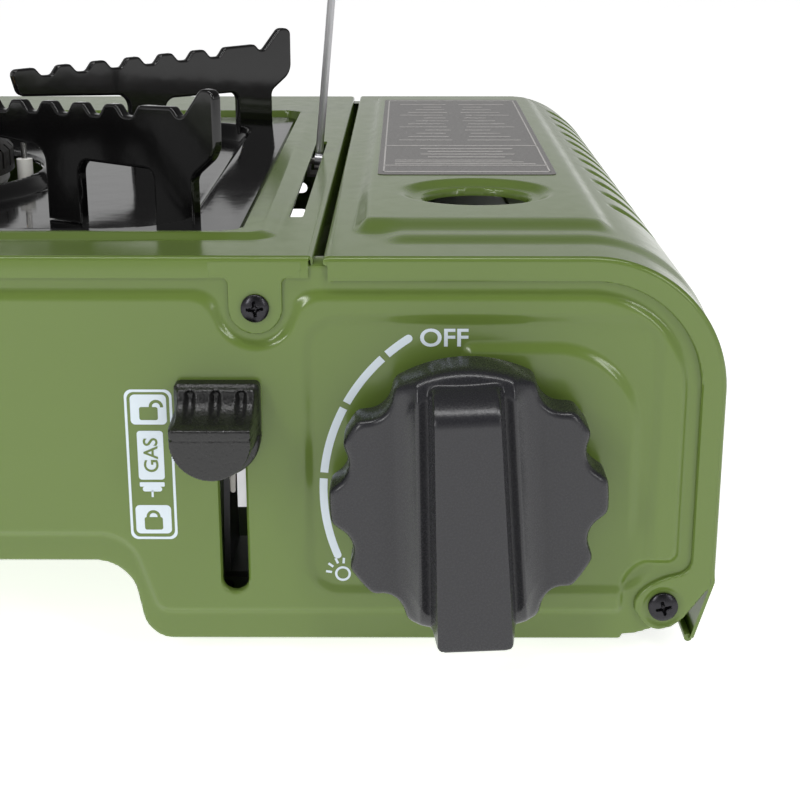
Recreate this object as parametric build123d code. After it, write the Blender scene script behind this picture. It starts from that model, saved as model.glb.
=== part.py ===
from build123d import *
import os
from math import atan2, cos, degrees, hypot, radians, sin, tan

os.makedirs("parts", exist_ok=True)

# Portable single-burner butane stove. Millimetres, +Z up, front faces -Y.
# The origin is on the ground under the middle of the overall box.

# Housing
SHEET = 0.8
GAP = 0.3                      # clearance between bodies that slide past each other
LEFT = -171.0
RIGHT = 171.0
FRONT = -127.0                 # outer face of the front panel
REAR = 148.6                   # outer face of the rear panel
TOP = 90.0                     # flat top of the deck and the cover
BAY_BOTTOM = 4.1               # underside of the canister bay
BURNER_BOTTOM = 22.6           # underside of the raised burner half
FLOOR = BAY_BOTTOM + 2 * SHEET   # upper face of the tray in the canister bay
RAISED_FLOOR = BURNER_BOTTOM + 2 * SHEET
LIP = 7.0                      # depth of the panels' folded rims
INNER_FRONT = FRONT + SHEET + LIP + GAP
INNER_REAR = REAR - SHEET - LIP - GAP
STEP = 0.8                     # height of the raised field on the deck and cover

# Deck and drip pan
DECK_RIGHT = 85.0
BURNER = (-45.0, 0.0)
PAN = (224.0, 194.0)
PAN_CORNER = 5.0
PAN_RIM_TOP = 89.05
PAN_RIM_WIDTH = 13.0
PAN_FLOOR_TOP = 84.0
PAN_HOLE = 46.0
LEDGE_TOP = 88.0

# Pot supports
ARM_THICKNESS = 2.4
ARM_ANGLE_REAR = 35.0
ARM_ANGLE_FRONT = 38.0
ARM_SHIFT = 7.0                # the supports pass this far outside the burner's centre
ARM_INNER = 44.2
ARM_OUTER = 140.7
ARM_TOP = 111.2                # height of the toothed edge at its inner end
ARM_SLOPE = 0.042
TOOTH_START = 55.6             # radius of the innermost notch
TOOTH_PITCH = 11.4
TOOTH_COUNT = 6
TOOTH_DEPTH = 2.5

# Canister bay and its cover
COVER_LEFT = 87.0
COVER_SHOULDER = 29.0
PIVOT = (160.3, 11.9)          # x, z of the cover's hinge line
PIVOT_SCREW = 2.0
RUNNING = 0.05                 # radial clearance of a shaft in its hole
CANISTER = (124.0, 44.0)       # x, z of the canister's axis
CANISTER_RADIUS = 33.5
NOZZLE = (-73.2, -66.0)        # y of the gas nozzle's root and tip
NOZZLE_RADIUS = 2.2
SEAL_BORE = 3.2
SIGHT_HOLE = (121.0, -62.7, 12.7)
COVER_HEM = (166.9, 4.7)       # x, z where the cover's side wall ends, tucked in from COVER_TUCK
COVER_TUCK = 18.4
GROOVE_PITCH = 18.1            # the shoulder's pressed grooves
GROOVE_COUNT = 11
GROOVE_DEPTH = 0.7

# Controls
KNOB = (117.7, 41.6)           # x, z of the knob's axis
KNOB_RADIUS = 28.7
KNOB_BACK = FRONT - 5.0
KNOB_FACE = FRONT - 14.0
GRIP_FACE = FRONT - 25.0
KNOB_REST_TILT = 2.6
SPINDLE = 4.0
CAM_LOW = 9.0
CAM_RISE = 5.0
KNOB_TURN = 110.0
SLOT = (67.2, 18.9, 53.0, 5.6)  # x, lower and upper end centres, width of the lever's slot
LEVER_TRAVEL = 28.0
LEVER_KNOB_X = 64.8
LEVER_KNOB_TOP = 64.0
CRANK_PIVOT = (-86.0, 32.0)    # y, z
CRANK_REACH = 30.0             # pivot to the slider's pin, along y
PUSHER_TRAVEL = 10.0
CRANK_SWING = 2 * degrees(atan2(LEVER_TRAVEL / 2, CRANK_REACH))
CRANK_LIFT = PUSHER_TRAVEL / 2 / tan(radians(CRANK_SWING / 2))
ROD_X = (74.0, 77.0)
ROD_Z = CRANK_PIVOT[1] + CRANK_LIFT

# Wire stay
STAY_PIVOT = (78.8, 12.6, 87.4)
STAY_WIRE = 1.1
STAY_LENGTH = 96.0
STAY_LEAN = 5.4
STAY_SLOT = (77.2, 80.4, -85.4, 33.4)

# Gas train
GAS_Z = 72.0
JET = (66.5, -104.1)


def block(x0, x1, y0, y1, z0, z1):
    return Pos(x0, y0, z0) * Box(x1 - x0, y1 - y0, z1 - z0, align=(Align.MIN,) * 3)


def rod(start, end, radius):
    """Round bar between two points."""
    line = Vector(*end) - Vector(*start)
    plane = Plane(origin=start, z_dir=line)
    return plane * Cylinder(radius, line.length, align=(Align.CENTER, Align.CENTER, Align.MIN))


def cone(start, end, radius, end_radius):
    line = Vector(*end) - Vector(*start)
    plane = Plane(origin=start, z_dir=line)
    return plane * Cone(radius, end_radius, line.length, align=(Align.CENTER, Align.CENTER, Align.MIN))


def slab_x(face, x0, x1):
    """Face drawn in y and z, filled from x0 to x1."""
    return Plane(origin=(x0, 0, 0), x_dir=(0, 1, 0), z_dir=(1, 0, 0)) * extrude(face, x1 - x0)


def slab_y(face, y0, y1):
    """Face drawn in x and z, filled from y0 to y1."""
    return Plane(origin=(0, y1, 0), x_dir=(1, 0, 0), z_dir=(0, -1, 0)) * extrude(face, y1 - y0)


def slab_z(face, z0, z1):
    """Face drawn in x and y, filled from z0 to z1."""
    return Pos(0, 0, z0) * extrude(face, z1 - z0)


def rounded(*corners):
    """Closed face through corners given as (u, v, radius)."""
    points = [(u, v) for u, v, _ in corners]
    radii = [radius for _, _, radius in corners]
    return make_face(FilletPolyline(*points, radius=radii, close=True))


def rectangle(u0, u1, v0, v1, radius):
    return Pos((u0 + u1) / 2, (v0 + v1) / 2) * RectangleRounded(u1 - u0, v1 - v0, radius)


def ring(face, inner, outer=0.0):
    """The band of a face between two insets."""
    outside = offset(face, -outer) if outer else face
    return outside - offset(face, -inner)


def mirrored_rear(shape):
    """Copy of a front piece at the rear."""
    return Pos(0, FRONT + REAR, 0) * mirror(shape, about=Plane.XZ)


def panel_outline():
    """Front view of the housing: deep canister bay on the right, raised burner half on the left."""
    return rounded(
        (LEFT + 0.9, BURNER_BOTTOM, 1.0),
        (LEFT + 0.9, TOP - 1.7, 1.0),
        (168.0, TOP - 1.7, 26.0),
        (168.0, 24.0, 3.0),
        (166.6, 11.0, 4.0),
        (161.5, 5.4, 3.0),
        (156.0, 6.0, 2.0),
        (151.1, 6.0, 0.4),
        (151.1, BAY_BOTTOM, 0.4),
        (46.6, BAY_BOTTOM, 7.0),
        (43.9, BURNER_BOTTOM, 9.0),
    )


def panel_blank():
    outline = panel_outline()
    wall = slab_y(outline, FRONT, FRONT + SHEET)
    rim = slab_y(ring(outline, SHEET), FRONT, FRONT + SHEET + LIP)
    screws = [rod((x, FRONT - 1, z), (x, FRONT + 2, z), 1.6) for x, z in deck_screw_places()]
    pivot = rod((PIVOT[0], FRONT - 1, PIVOT[1]), (PIVOT[0], FRONT + 2, PIVOT[1]), PIVOT_SCREW)
    return wall + rim - screws - pivot


def deck_screw_places():
    return [(73.0, 79.3), (-152.0, 79.3)]


def front_panel():
    slot_x, low, high, width = SLOT
    slot = Pos(slot_x, (low + high) / 2) * Rot(0, 0, 90) * SlotCenterToCenter(high - low, width)
    cuts = [
        slab_y(slot, FRONT - 1, FRONT + 2),
        rod((KNOB[0], FRONT - 1, KNOB[1]), (KNOB[0], FRONT + 2, KNOB[1]), 9.0),
    ]
    return panel_blank() - cuts


def rear_panel():
    vents = [rectangle(x, x + 42, z, z + 4, 1.9) for x in (-140, -85, -30, 25) for z in (44, 54, 64)]
    panel = mirrored_rear(panel_blank())
    return panel - [slab_y(vent, REAR - 2, REAR + 1) for vent in vents]


def base_tray():
    """One bent sheet: the left wall, the raised floor and the canister bay's floor."""
    band = ring(panel_outline(), 2 * SHEET, SHEET)
    keep = rectangle(LEFT, -160, 0, 84, 0.5) + rectangle(LEFT, 149.5, 0, 30, 0.5)
    profile = (band & keep) + rectangle(148.7, 149.5, BAY_BOTTOM + SHEET, 15, 0.3)
    tray = slab_y(profile, FRONT + SHEET, REAR - SHEET)
    places = [(x, y) for x in (-130, -70, -10) for y in (-70, -20, 30, 80)]
    vents = [rectangle(x, x + 46, y - 3, y + 3, 2.9) for x, y in places]
    tray -= [slab_z(vent, 20, 28) for vent in vents]
    return tray - [rod((x, y, 4), (x, y, z + 3), 2.1) for x, y, z in foot_places()]


def foot_places():
    """x, y and the underside of the tray above each foot."""
    rows = (-106.0, 128.0)
    bay = [(x, y, BAY_BOTTOM + SHEET) for x in (62.0, 138.0) for y in rows]
    return bay + [(-152.0, y, BURNER_BOTTOM + SHEET) for y in rows]


def feet(tall):
    made = []
    for x, y, top in foot_places():
        if (top > 10) != tall:
            continue
        pad = cone((x, y, 0), (x, y, top), 9.5 if tall else 8.5, 7.5)
        made.append(pad + rod((x, y, top), (x, y, top + 3.2), 2.0))
    return made


def pan_face(inset=0.0):
    x, y = BURNER
    width = PAN[0] - 2 * inset
    depth = PAN[1] - 2 * inset
    corner = PAN_CORNER if inset <= 0 else PAN_CORNER + inset
    return Pos(x, y) * RectangleRounded(width, depth, corner)


def top_deck():
    face = rectangle(LEFT, DECK_RIGHT, FRONT - SHEET, REAR + SHEET, 0.6)
    sheet = slab_z(face, TOP - SHEET, TOP)
    skirt = slab_z(ring(face, SHEET), TOP - 4.5, TOP)
    skirt -= block(DECK_RIGHT - 1, DECK_RIGHT, FRONT - 5, REAR + 5, 80, TOP - SHEET)
    flange = block(DECK_RIGHT - SHEET, DECK_RIGHT, INNER_FRONT, INNER_REAR, 81, TOP)
    notch = block(DECK_RIGHT - 1.5, DECK_RIGHT + 1, FRONT - 2, FRONT + 0.6, 80, TOP - 1.5)
    field = rectangle(-163.0, 75.0, FRONT + 20.0, REAR - 17.0, 6.0)
    raised = slab_z(ring(field, SHEET), TOP - SHEET, TOP + STEP) + slab_z(field, TOP, TOP + STEP)
    recess = pan_face(-1.0)
    well = slab_z(ring(pan_face(-1.0 - SHEET), SHEET), LEDGE_TOP - SHEET, TOP + STEP)
    ledge = slab_z(pan_face(-1.0) - pan_face(9.0), LEDGE_TOP - SHEET, LEDGE_TOP)
    deck = sheet + skirt + flange + deck_tabs() - notch
    deck = deck - slab_z(field, TOP - 5, TOP) + raised - slab_z(recess, 80, 95) + well + ledge
    x0, x1, y0, y1 = STAY_SLOT
    return deck - block(x0, x1, y0, y1, TOP - 2, TOP + 2)


def deck_tabs():
    tabs = []
    for x, z in deck_screw_places():
        low = z - 5.5
        high = TOP - 1.0
        tab = rounded((x - 5.6, high, 0.4), (x - 5.6, low, 5.4), (x + 5.6, low, 5.4), (x + 5.6, high, 0.4))
        tab -= Pos(x, z) * Circle(1.6)
        plate = slab_y(tab, FRONT - SHEET, FRONT)
        tabs += [plate, mirrored_rear(plate)]
    return tabs


def deck_screws():
    screws = []
    for x, z in deck_screw_places():
        screw = pan_head_screw((x, FRONT - SHEET, z), 2.85, 1.8, 1.45, 9.0)
        screws += [screw, mirrored_rear(screw)]
    return screws


def pan_head_screw(seat, head, height, shank, length):
    """Domed cross-head screw that points along +Y, with its head in front of the seat."""
    x, y, z = seat
    dome = rod((x, y - height, z), (x, y, z), head)
    dome = fillet(dome.edges().filter_by(GeomType.CIRCLE).sort_by(Axis.Y)[0], height * 0.6)
    cross = block(x - head * 0.55, x + head * 0.55, y - height, y - height * 0.45, z - 0.4, z + 0.4)
    cross += block(x - 0.4, x + 0.4, y - height, y - height * 0.45, z - head * 0.55, z + head * 0.55)
    return dome + rod((x, y, z), (x, y + length, z), shank) - cross


def partition():
    """Heat wall between the burner and the canister."""
    wall = block(83.4, 84.2, INNER_FRONT, INNER_REAR, FLOOR, TOP - SHEET)
    cuts = [
        rod((80, JET[1], GAS_Z), (90, JET[1], GAS_Z), 5.0),
        rod((80, -66.0, 30.0), (90, -66.0, 30.0), 3.0),
        block(80, 90, 110, 134, ROD_Z - 6, ROD_Z + 6),
        block(80, 90, 13.5, 41.5, 59.6, 63.2),
    ]
    return wall - cuts


def dish_face():
    width, depth = (side - 2 * PAN_RIM_WIDTH for side in PAN)
    return Pos(*BURNER) * RectangleRounded(width, depth, 20.0)


def drip_pan():
    rim_bottom = PAN_RIM_TOP - SHEET
    dish = dish_face()
    hole = Pos(*BURNER) * Circle(PAN_HOLE)
    rim = slab_z(pan_face() - dish, rim_bottom, PAN_RIM_TOP)
    wall = slab_z(ring(dish, SHEET) - hole, PAN_FLOOR_TOP - SHEET, PAN_RIM_TOP)
    floor = slab_z(dish - hole, PAN_FLOOR_TOP - SHEET, PAN_FLOOR_TOP)
    collar = slab_z(Pos(*BURNER) * (Circle(PAN_HOLE + SHEET) - Circle(PAN_HOLE)), PAN_FLOOR_TOP - SHEET, 87.0)
    return rim + wall + floor + collar


def arm_profile():
    """Pot support in radius and height: toothed top edge, two legs, raised hook at the tip."""
    inner_leg = (82.3, 94.5)
    outer_leg = (120.5, 133.2)
    last_flat = 127.2
    beam = rounded(
        (ARM_INNER, ARM_TOP, 1.8),
        (last_flat, ARM_TOP + ARM_SLOPE * (last_flat - ARM_INNER), 1.2),
        (129.0, 112.9, 1.2),
        (130.8, 112.9, 1.6),
        (136.0, 119.5, 2.2),
        (ARM_OUTER, 119.4, 2.6),
        (ARM_OUTER, 105.0, 6.0),
        (outer_leg[1], 99.5, 3.0),
        (outer_leg[1], PAN_FLOOR_TOP, 0.3),
        (outer_leg[0], PAN_FLOOR_TOP, 0.3),
        (outer_leg[0], 99.8, 2.5),
        (inner_leg[1], 99.6, 3.5),
        (inner_leg[1], PAN_FLOOR_TOP, 0.3),
        (inner_leg[0], PAN_FLOOR_TOP, 0.3),
        (inner_leg[0], 101.4, 4.0),
        (ARM_INNER + 2.1, 103.4, 2.5),
    )
    notches = []
    for index in range(TOOTH_COUNT):
        radius = TOOTH_START + TOOTH_PITCH * index
        height = ARM_TOP + ARM_SLOPE * (radius - ARM_INNER)
        mouth = [(radius - 5.4, height + 2, 0.2), (radius + 5.4, height + 2, 0.2)]
        root = [(radius + 1.5, height - TOOTH_DEPTH, 1.2), (radius - 1.5, height - TOOTH_DEPTH, 1.2)]
        notches.append(rounded(*mouth, *root))
    return beam - notches


def pot_support(angle, shift):
    """One support, its outer leg let down over the rim and wall of the pan's dish."""
    plate = slab_y(arm_profile(), -ARM_THICKNESS / 2, ARM_THICKNESS / 2)
    arm = Pos(*BURNER) * Rot(0, 0, angle) * Pos(0, shift, 0) * plate
    pan_edge = pan_face() - offset(dish_face(), -SHEET)
    return arm - slab_z(pan_edge, PAN_FLOOR_TOP - 1, PAN_RIM_TOP)


def burner_support():
    x, y = BURNER
    floor = RAISED_FLOOR
    top = slab_z(rectangle(x - 34, x + 34, y - 12, y + 12, 3) - Pos(x, y) * Circle(3), 60.4, 62.0)
    legs = [block(x + s * 33.2 - 0.8, x + s * 33.2 + 0.8, y - 12, y + 12, floor, 62.0) for s in (-1, 1)]
    toes = [block(x + s * 40 - 6.8, x + s * 40 + 6.8, y - 12, y + 12, floor, floor + 1.6) for s in (-1, 1)]
    return top + legs + toes


def burner_bowl():
    """Lower burner body: a cup with the mixing tube's socket in its side."""
    x, y = BURNER
    u, v = tube_direction()
    outside = [(0, 62), (30, 62), (30, 70), (36.5, 84), (36.5, 86.5)]
    inside = [(34.6, 86.5), (27.5, 70.6), (27.5, 64), (4, 64), (4, 86), (0, 86)]
    profile = make_face(Polyline(*outside, *inside, close=True))
    cup = Pos(x, y, 0) * revolve(Plane.XZ * profile, Axis.Z)
    socket = rod((x + 29.0 * u, y + 29.0 * v, GAS_Z), (x + 42.0 * u, y + 42.0 * v, GAS_Z), 10.0)
    bore = rod((x + 20.0 * u, y + 20.0 * v, GAS_Z), (x + 44.0 * u, y + 44.0 * v, GAS_Z), 8.0)
    return cup + socket - bore - rod((x, y, 70.0), (x, y, 87.0), 2.0)


def tube_direction():
    """Unit vector in plan from the burner's centre towards the jet."""
    dx = JET[0] - BURNER[0]
    dy = JET[1] - BURNER[1]
    span = hypot(dx, dy)
    return dx / span, dy / span


def mixing_tube():
    """Venturi tube from its flared mouth by the jet to the burner bowl."""
    x, y = BURNER
    u, v = tube_direction()

    def at(distance):
        return (x + distance * u, y + distance * v, GAS_Z)

    mouth = hypot(JET[0] - x, JET[1] - y) - 13.0
    outside = rod(at(30.0), at(mouth - 18.0), 8.0) + cone(at(mouth - 18.0), at(mouth), 8.0, 11.0)
    inside = rod(at(29.0), at(mouth - 18.0), 7.0) + cone(at(mouth - 18.0), at(mouth + 0.01), 7.0, 10.0)
    return outside - inside


def burner_head():
    """Port ring with radial flame slots."""
    x, y = BURNER
    head = rod((x, y, 86.5), (x, y, 95.5), 38.0)
    head = chamfer(head.edges().filter_by(GeomType.CIRCLE).sort_by(Axis.Z)[-1], 3.0)
    head -= rod((x, y, 86.0), (x, y, 92.0), 33.0) + rod((x, y, 86.0), (x, y, 96.0), 2.1)
    slot = block(33.5, 40.0, -0.6, 0.6, 88.0, 94.0)
    count = 40
    slots = [Pos(x, y, 0) * Rot(0, 0, 360 * index / count) * slot for index in range(count)]
    return head - slots


def burner_cap():
    x, y = BURNER
    cap = rod((x, y, 95.5), (x, y, 99.0), 27.0)
    cap = fillet(cap.edges().filter_by(GeomType.CIRCLE).sort_by(Axis.Z)[-1], 2.0)
    return cap - rod((x, y, 95.0), (x, y, 99.5), 2.1)


def burner_screw():
    x, y = BURNER
    head = rod((x, y, 99.0), (x, y, 101.0), 3.6) - block(x - 4, x + 4, y - 0.5, y + 0.5, 100.2, 101.1)
    return head + rod((x, y, 72.0), (x, y, 99.0), 1.95)


def gas_jet():
    """Brass jet and its holder, aimed down the mixing tube."""
    u, v = tube_direction()

    def at(distance):
        return (JET[0] - distance * u, JET[1] - distance * v, GAS_Z)

    holder = rod(at(-1.0), at(4.0), 5.0) + cone(at(4.0), at(9.0), 3.6, 1.8)
    holder += rod((JET[0] - 3.0, JET[1], GAS_Z), (JET[0] + 9.5, JET[1], GAS_Z), 5.0)
    return holder - rod(at(-3.0), at(9.5), 0.5)


def gas_pipe():
    """Copper pipe from the regulator up and across to the jet."""
    start = (105.0, JET[1], 57.0)
    corner = (105.0, JET[1], GAS_Z)
    end = (JET[0] + 9.5, JET[1], GAS_Z)
    path = FilletPolyline(start, corner, end, radius=8.0)
    return sweep(Plane(origin=start, z_dir=(0, 0, 1)) * Circle(3.0), path=path)


def jet_bracket():
    """Angle that carries the jet on the partition's burner side."""
    plate = block(62.0, 83.4, JET[1] - 7.0, JET[1] - 6.0, 63.0, 67.0)
    shelf = block(62.0, 83.4, JET[1] - 7.0, JET[1] + 7.0, 66.0, 67.0)
    return shelf + plate


def regulator_body():
    x, z = KNOB
    cx, cz = CANISTER
    body = rod((x, -120.5, z), (x, -86.0, z), 16.0)
    seat_y = -75.6
    inlet = rod((cx, -88.0, cz), (cx, seat_y, cz), 9.0)
    inlet += rod((cx, seat_y, cz), (cx, NOZZLE[0], cz), SEAL_BORE)
    inlet += rod((cx, seat_y, cz), (cx, NOZZLE[1], cz), NOZZLE_RADIUS)
    outlet = rod((105.0, JET[1], z), (105.0, JET[1], 57.0), 5.0)
    chamber = rod((x, -103.0, 11.0), (x, -103.0, z), 15.0)
    ears = block(x - 22, x + 22, -88.0, -85.0, z - 5, z + 5)
    bore = rod((x, -121.0, z), (x, -108.0, z), SPINDLE + RUNNING)
    holes = [rod((x + s * 19.0, -90, z), (x + s * 19.0, -84, z), 1.6) for s in (-1, 1)]
    passage = rod((105.0, JET[1], 50.0), (105.0, JET[1], 58.0), 2.0)
    return body + inlet + outlet + chamber + ears - bore - holes - passage


def diaphragm_cap():
    x = KNOB[0]
    cap = rod((x, -103.0, 7.2), (x, -103.0, 11.0), 17.5)
    return fillet(cap.edges().filter_by(GeomType.CIRCLE).sort_by(Axis.Z)[0], 1.2)


def canister_guide_plate():
    """Upright plate that carries the regulator and keys the canister's notch."""
    x, z = CANISTER
    plate = slab_y(rectangle(96.0, 148.0, FLOOR, 76.0, 0.4), -85.0, -83.5)
    foot = block(98.0, 146.0, -85.0, -76.0, FLOOR, FLOOR + 1.4)
    key = block(x - 3, x + 3, -85.0, -69.0, 62.0, 63.4)
    window = rod((x, -86, z), (x, -82, z), 9.4)
    columns = [KNOB[0] - 19.0, KNOB[0] + 19.0]
    holes = [rod((at, -86, KNOB[1]), (at, -82, KNOB[1]), 1.6) for at in columns]
    return plate + foot + key - window - holes


def regulator_screws():
    screws = []
    for side in (-1, 1):
        x = KNOB[0] + side * 19.0
        head = rod((x, -83.5, KNOB[1]), (x, -81.3, KNOB[1]), 2.8)
        screws.append(head + rod((x, -90.0, KNOB[1]), (x, -83.5, KNOB[1]), 1.45))
    return screws


def canister_seal():
    x, z = CANISTER
    face = Circle(6.4) - Circle(SEAL_BORE)
    return slab_y(Pos(x, z) * face, -75.6, -73.4)


def canister_cradle():
    """Two rails with cross strips under the canister."""
    x, _ = CANISTER
    low = FLOOR
    rails = [block(x + s * 20 - 1.2, x + s * 20 + 1.2, -60, 108, low, 16.4) for s in (-1, 1)]
    strips = [block(x - 21, x + 21, y, y + 12, low, low + 1.2) for y in (-60, 96)]
    return rails[0] + rails[1] + strips


def heat_plate():
    """Aluminium strip that carries a little burner heat to the canister."""
    z = 60.8
    thickness = 1.2
    strip = block(-40.0, 87.4, 15, 40, z, z + thickness)
    drop = block(86.2, 87.4, 15, 40, 7.2, z + thickness)
    foot = block(86.2, 100.0, 15, 40, 7.2, 7.2 + thickness)
    return strip + drop + foot


def igniter_cam():
    """Spiral cam: its radius grows evenly with angle, so the plunger moves in step with the knob."""
    x, z = KNOB
    steps = 22
    points = []
    for index in range(steps + 1):
        share = index / steps
        angle = radians(180.0 - KNOB_TURN * share)
        radius = CAM_LOW + CAM_RISE * share
        points.append((x + radius * cos(angle), z + radius * sin(angle)))
    rise = Spline(*points)
    back = ThreePointArc(points[-1], (x + 9.0, z - 3.0), (x - 3.0, z - 7.5))
    profile = make_face([rise, back, Line((x - 3.0, z - 7.5), points[0])])
    disc = slab_y(profile, FRONT + 1.5, FRONT + 5.5)
    return disc - rod((x, FRONT, z), (x, FRONT + 8, z), SPINDLE)


def valve_spindle():
    x, z = KNOB
    shaft = rod((x, KNOB_FACE + 2.0, z), (x, -108.6, z), SPINDLE)
    flat = block(x - 5, x + 5, KNOB_FACE, FRONT - 2.0, z + 2.6, z + 6)
    return shaft - flat


def piezo_igniter():
    x, z = KNOB
    y = FRONT + 3.5
    body = block(86.0, 100.5, FRONT + SHEET, -112.0, z - 8, z + 8)
    body = fillet(body.edges().filter_by(Axis.X), 1.2)
    spout = rod((92.0, -112.0, z - 4), (92.0, -107.0, z - 4), 2.6)
    return body + spout - rod((88.0, y, z), (101.0, y, z), 2.0 + RUNNING)


def piezo_plunger():
    x, z = KNOB
    y = FRONT + 3.5
    tip = x - CAM_LOW - 0.4
    return rod((94.0, y, z), (tip - 1.5, y, z), 2.0) + rod((tip - 1.5, y, z), (tip, y, z), 1.2)


def electrode_ceramic():
    x, y = BURNER
    return rod((x + 42, y, 62.0), (x + 42, y, 90.0), 2.2) - rod((x + 42, y, 61.0), (x + 42, y, 91.0), 0.8)


def electrode_tip():
    x, y = BURNER
    path = FilletPolyline((x + 42, y, 62.0), (x + 42, y, 97.6), (x + 36, y, 99.4), radius=2.0)
    return sweep(Plane(origin=(x + 42, y, 62.0), z_dir=(0, 0, 1)) * Circle(0.8), path=path)


def electrode_bracket():
    x, y = BURNER
    face = rectangle(x + 34.0, x + 47, y - 5, y + 5, 0.5) - Pos(x + 42, y) * Circle(2.2)
    strap = slab_z(face, 66.0, 67.2)
    return strap + block(x + 34.0, x + 35.2, y - 5, y + 5, 50.0, 67.2)


def ignition_wire():
    """High-tension lead from the piezo igniter to the electrode, held along the housing."""
    points = [
        (-3.0, 0.0, 62.0),
        (-3.0, 0.0, 46.0),
        (12.0, -14.0, 34.0),
        (40.0, -50.0, 30.0),
        (60.0, -66.0, 30.0),
        (92.0, -66.0, 30.0),
        (92.0, -84.0, 37.6),
        (92.0, -107.0, 37.6),
    ]
    path = FilletPolyline(*points, radius=cord_radii(points))
    return sweep(Plane(origin=points[0], z_dir=(0, 0, -1)) * Circle(1.3), path=path)


def cord_radii(points):
    radii = []
    for before, here, after in zip(points, points[1:], points[2:]):
        into = Vector(*here) - Vector(*before)
        away = Vector(*after) - Vector(*here)
        turn = radians(into.get_angle(away))
        radii.append(0.45 * min(into.length, away.length) / tan(turn / 2))
    return radii


def cover_section(inset):
    """Closed face of the cover's section, shrunk by an inset. Its side wall leans in near the ground."""
    lean = (RIGHT - COVER_HEM[0]) / (COVER_TUCK - COVER_HEM[1])
    return rounded(
        (COVER_LEFT + inset, 0, 0.1),
        (COVER_LEFT + inset, TOP - inset, 1.2),
        (RIGHT - inset, TOP - inset, COVER_SHOULDER - inset),
        (RIGHT - inset, COVER_TUCK, 1.0),
        (RIGHT - inset - lean * COVER_TUCK, 0, 0.1),
    )


def cover_flange():
    """Front flange of the cover with the ear that carries the pivot."""
    x, z = PIVOT
    body = cover_section(0.0)
    window = rounded(
        (COVER_LEFT - 5, -5, 0.1),
        (COVER_LEFT - 5, TOP - 5.1, 0.1),
        (RIGHT - 5.2, TOP - 5.1, 23.7),
        (RIGHT - 5.2, 21.5, 3.5),
        (x - 0.5, 18.8, 3.0),
        (x - 6.0, 15.5, 3.0),
        (x - 6.3, -5, 0.1),
    )
    cut = [(RIGHT + 1, 18.4), (x + 5.2, z - 1.5), (x + 2.0, -5), (RIGHT + 1, -5)]
    corner = make_face(Polyline(*cut, close=True))
    below = rectangle(x - 12, x + 12, -6, z - 6.3, 0.5)
    flange = body - window - corner - below + Pos(x, z) * Circle(6.3)
    return flange - Pos(x, z) * Circle(PIVOT_SCREW + RUNNING)


def canister_cover():
    y0 = FRONT - SHEET - GAP
    y1 = REAR + SHEET + GAP
    section = cover_section(0.0) - cover_section(SHEET)
    section -= rectangle(COVER_LEFT - 1, COVER_LEFT + 5, -2, TOP - SHEET, 0.2)
    section -= rectangle(RIGHT - 8, RIGHT + 1, -2, COVER_HEM[1], 0.1)
    section -= rectangle(COVER_LEFT + 1.5, RIGHT - 8, -2, 12, 0.4)
    shell = slab_y(section, y0, y1)
    front = slab_y(cover_flange(), y0, y0 + SHEET)
    field = rectangle(94.0, 148.0, FRONT + 24.0, REAR - 22.0, 6.0)
    raised = slab_z(ring(field, SHEET), TOP - SHEET, TOP + STEP) + slab_z(field, TOP, TOP + STEP)
    x, y, radius = SIGHT_HOLE
    lip = slab_z(Pos(x, y) * (Circle(radius + SHEET) - Circle(radius)), TOP - 3.0, TOP + STEP)
    edge = block(COVER_LEFT, COVER_LEFT + SHEET, INNER_FRONT, INNER_REAR, TOP - 6, TOP)
    cover = shell + edge + front + mirrored_rear(front)
    cover = cover - slab_z(field, TOP - 5, TOP) + raised - rod((x, y, TOP - 5), (x, y, TOP + 5), radius)
    return cover + lip + shoulder_bands(-SHEET - GROOVE_DEPTH, -SHEET + 0.1, 5.0) - shoulder_bands(
        -GROOVE_DEPTH, 0.3, 4.2
    )


def shoulder_bands(low, high, half_width):
    """Short bands round the cover's shoulder, between two offsets from its surface."""
    centre = (RIGHT - COVER_SHOULDER, TOP - COVER_SHOULDER)
    band = Circle(COVER_SHOULDER + high) - Circle(COVER_SHOULDER + low)
    fan = make_face(Polyline((0, 0), (20, 42), (60, 42), (60, 6), close=True))
    section = Pos(*centre) * (band & fan)
    rows = [SIGHT_HOLE[1] + GROOVE_PITCH * index for index in range(GROOVE_COUNT)]
    return Part() + [slab_y(section, y - half_width, y + half_width) for y in rows]


def cover_label():
    return slab_z(rectangle(96.7, 142.6, -27.0, REAR - 22.5, 3.0), TOP + STEP, TOP + STEP + 0.15)


def cover_pivot_screws():
    x, z = PIVOT
    y = FRONT - SHEET - 2 * GAP
    screw = pan_head_screw((x, y, z), 3.4, 2.0, PIVOT_SCREW, FRONT + 8 - y)
    return [screw, mirrored_rear(screw)]


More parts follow.
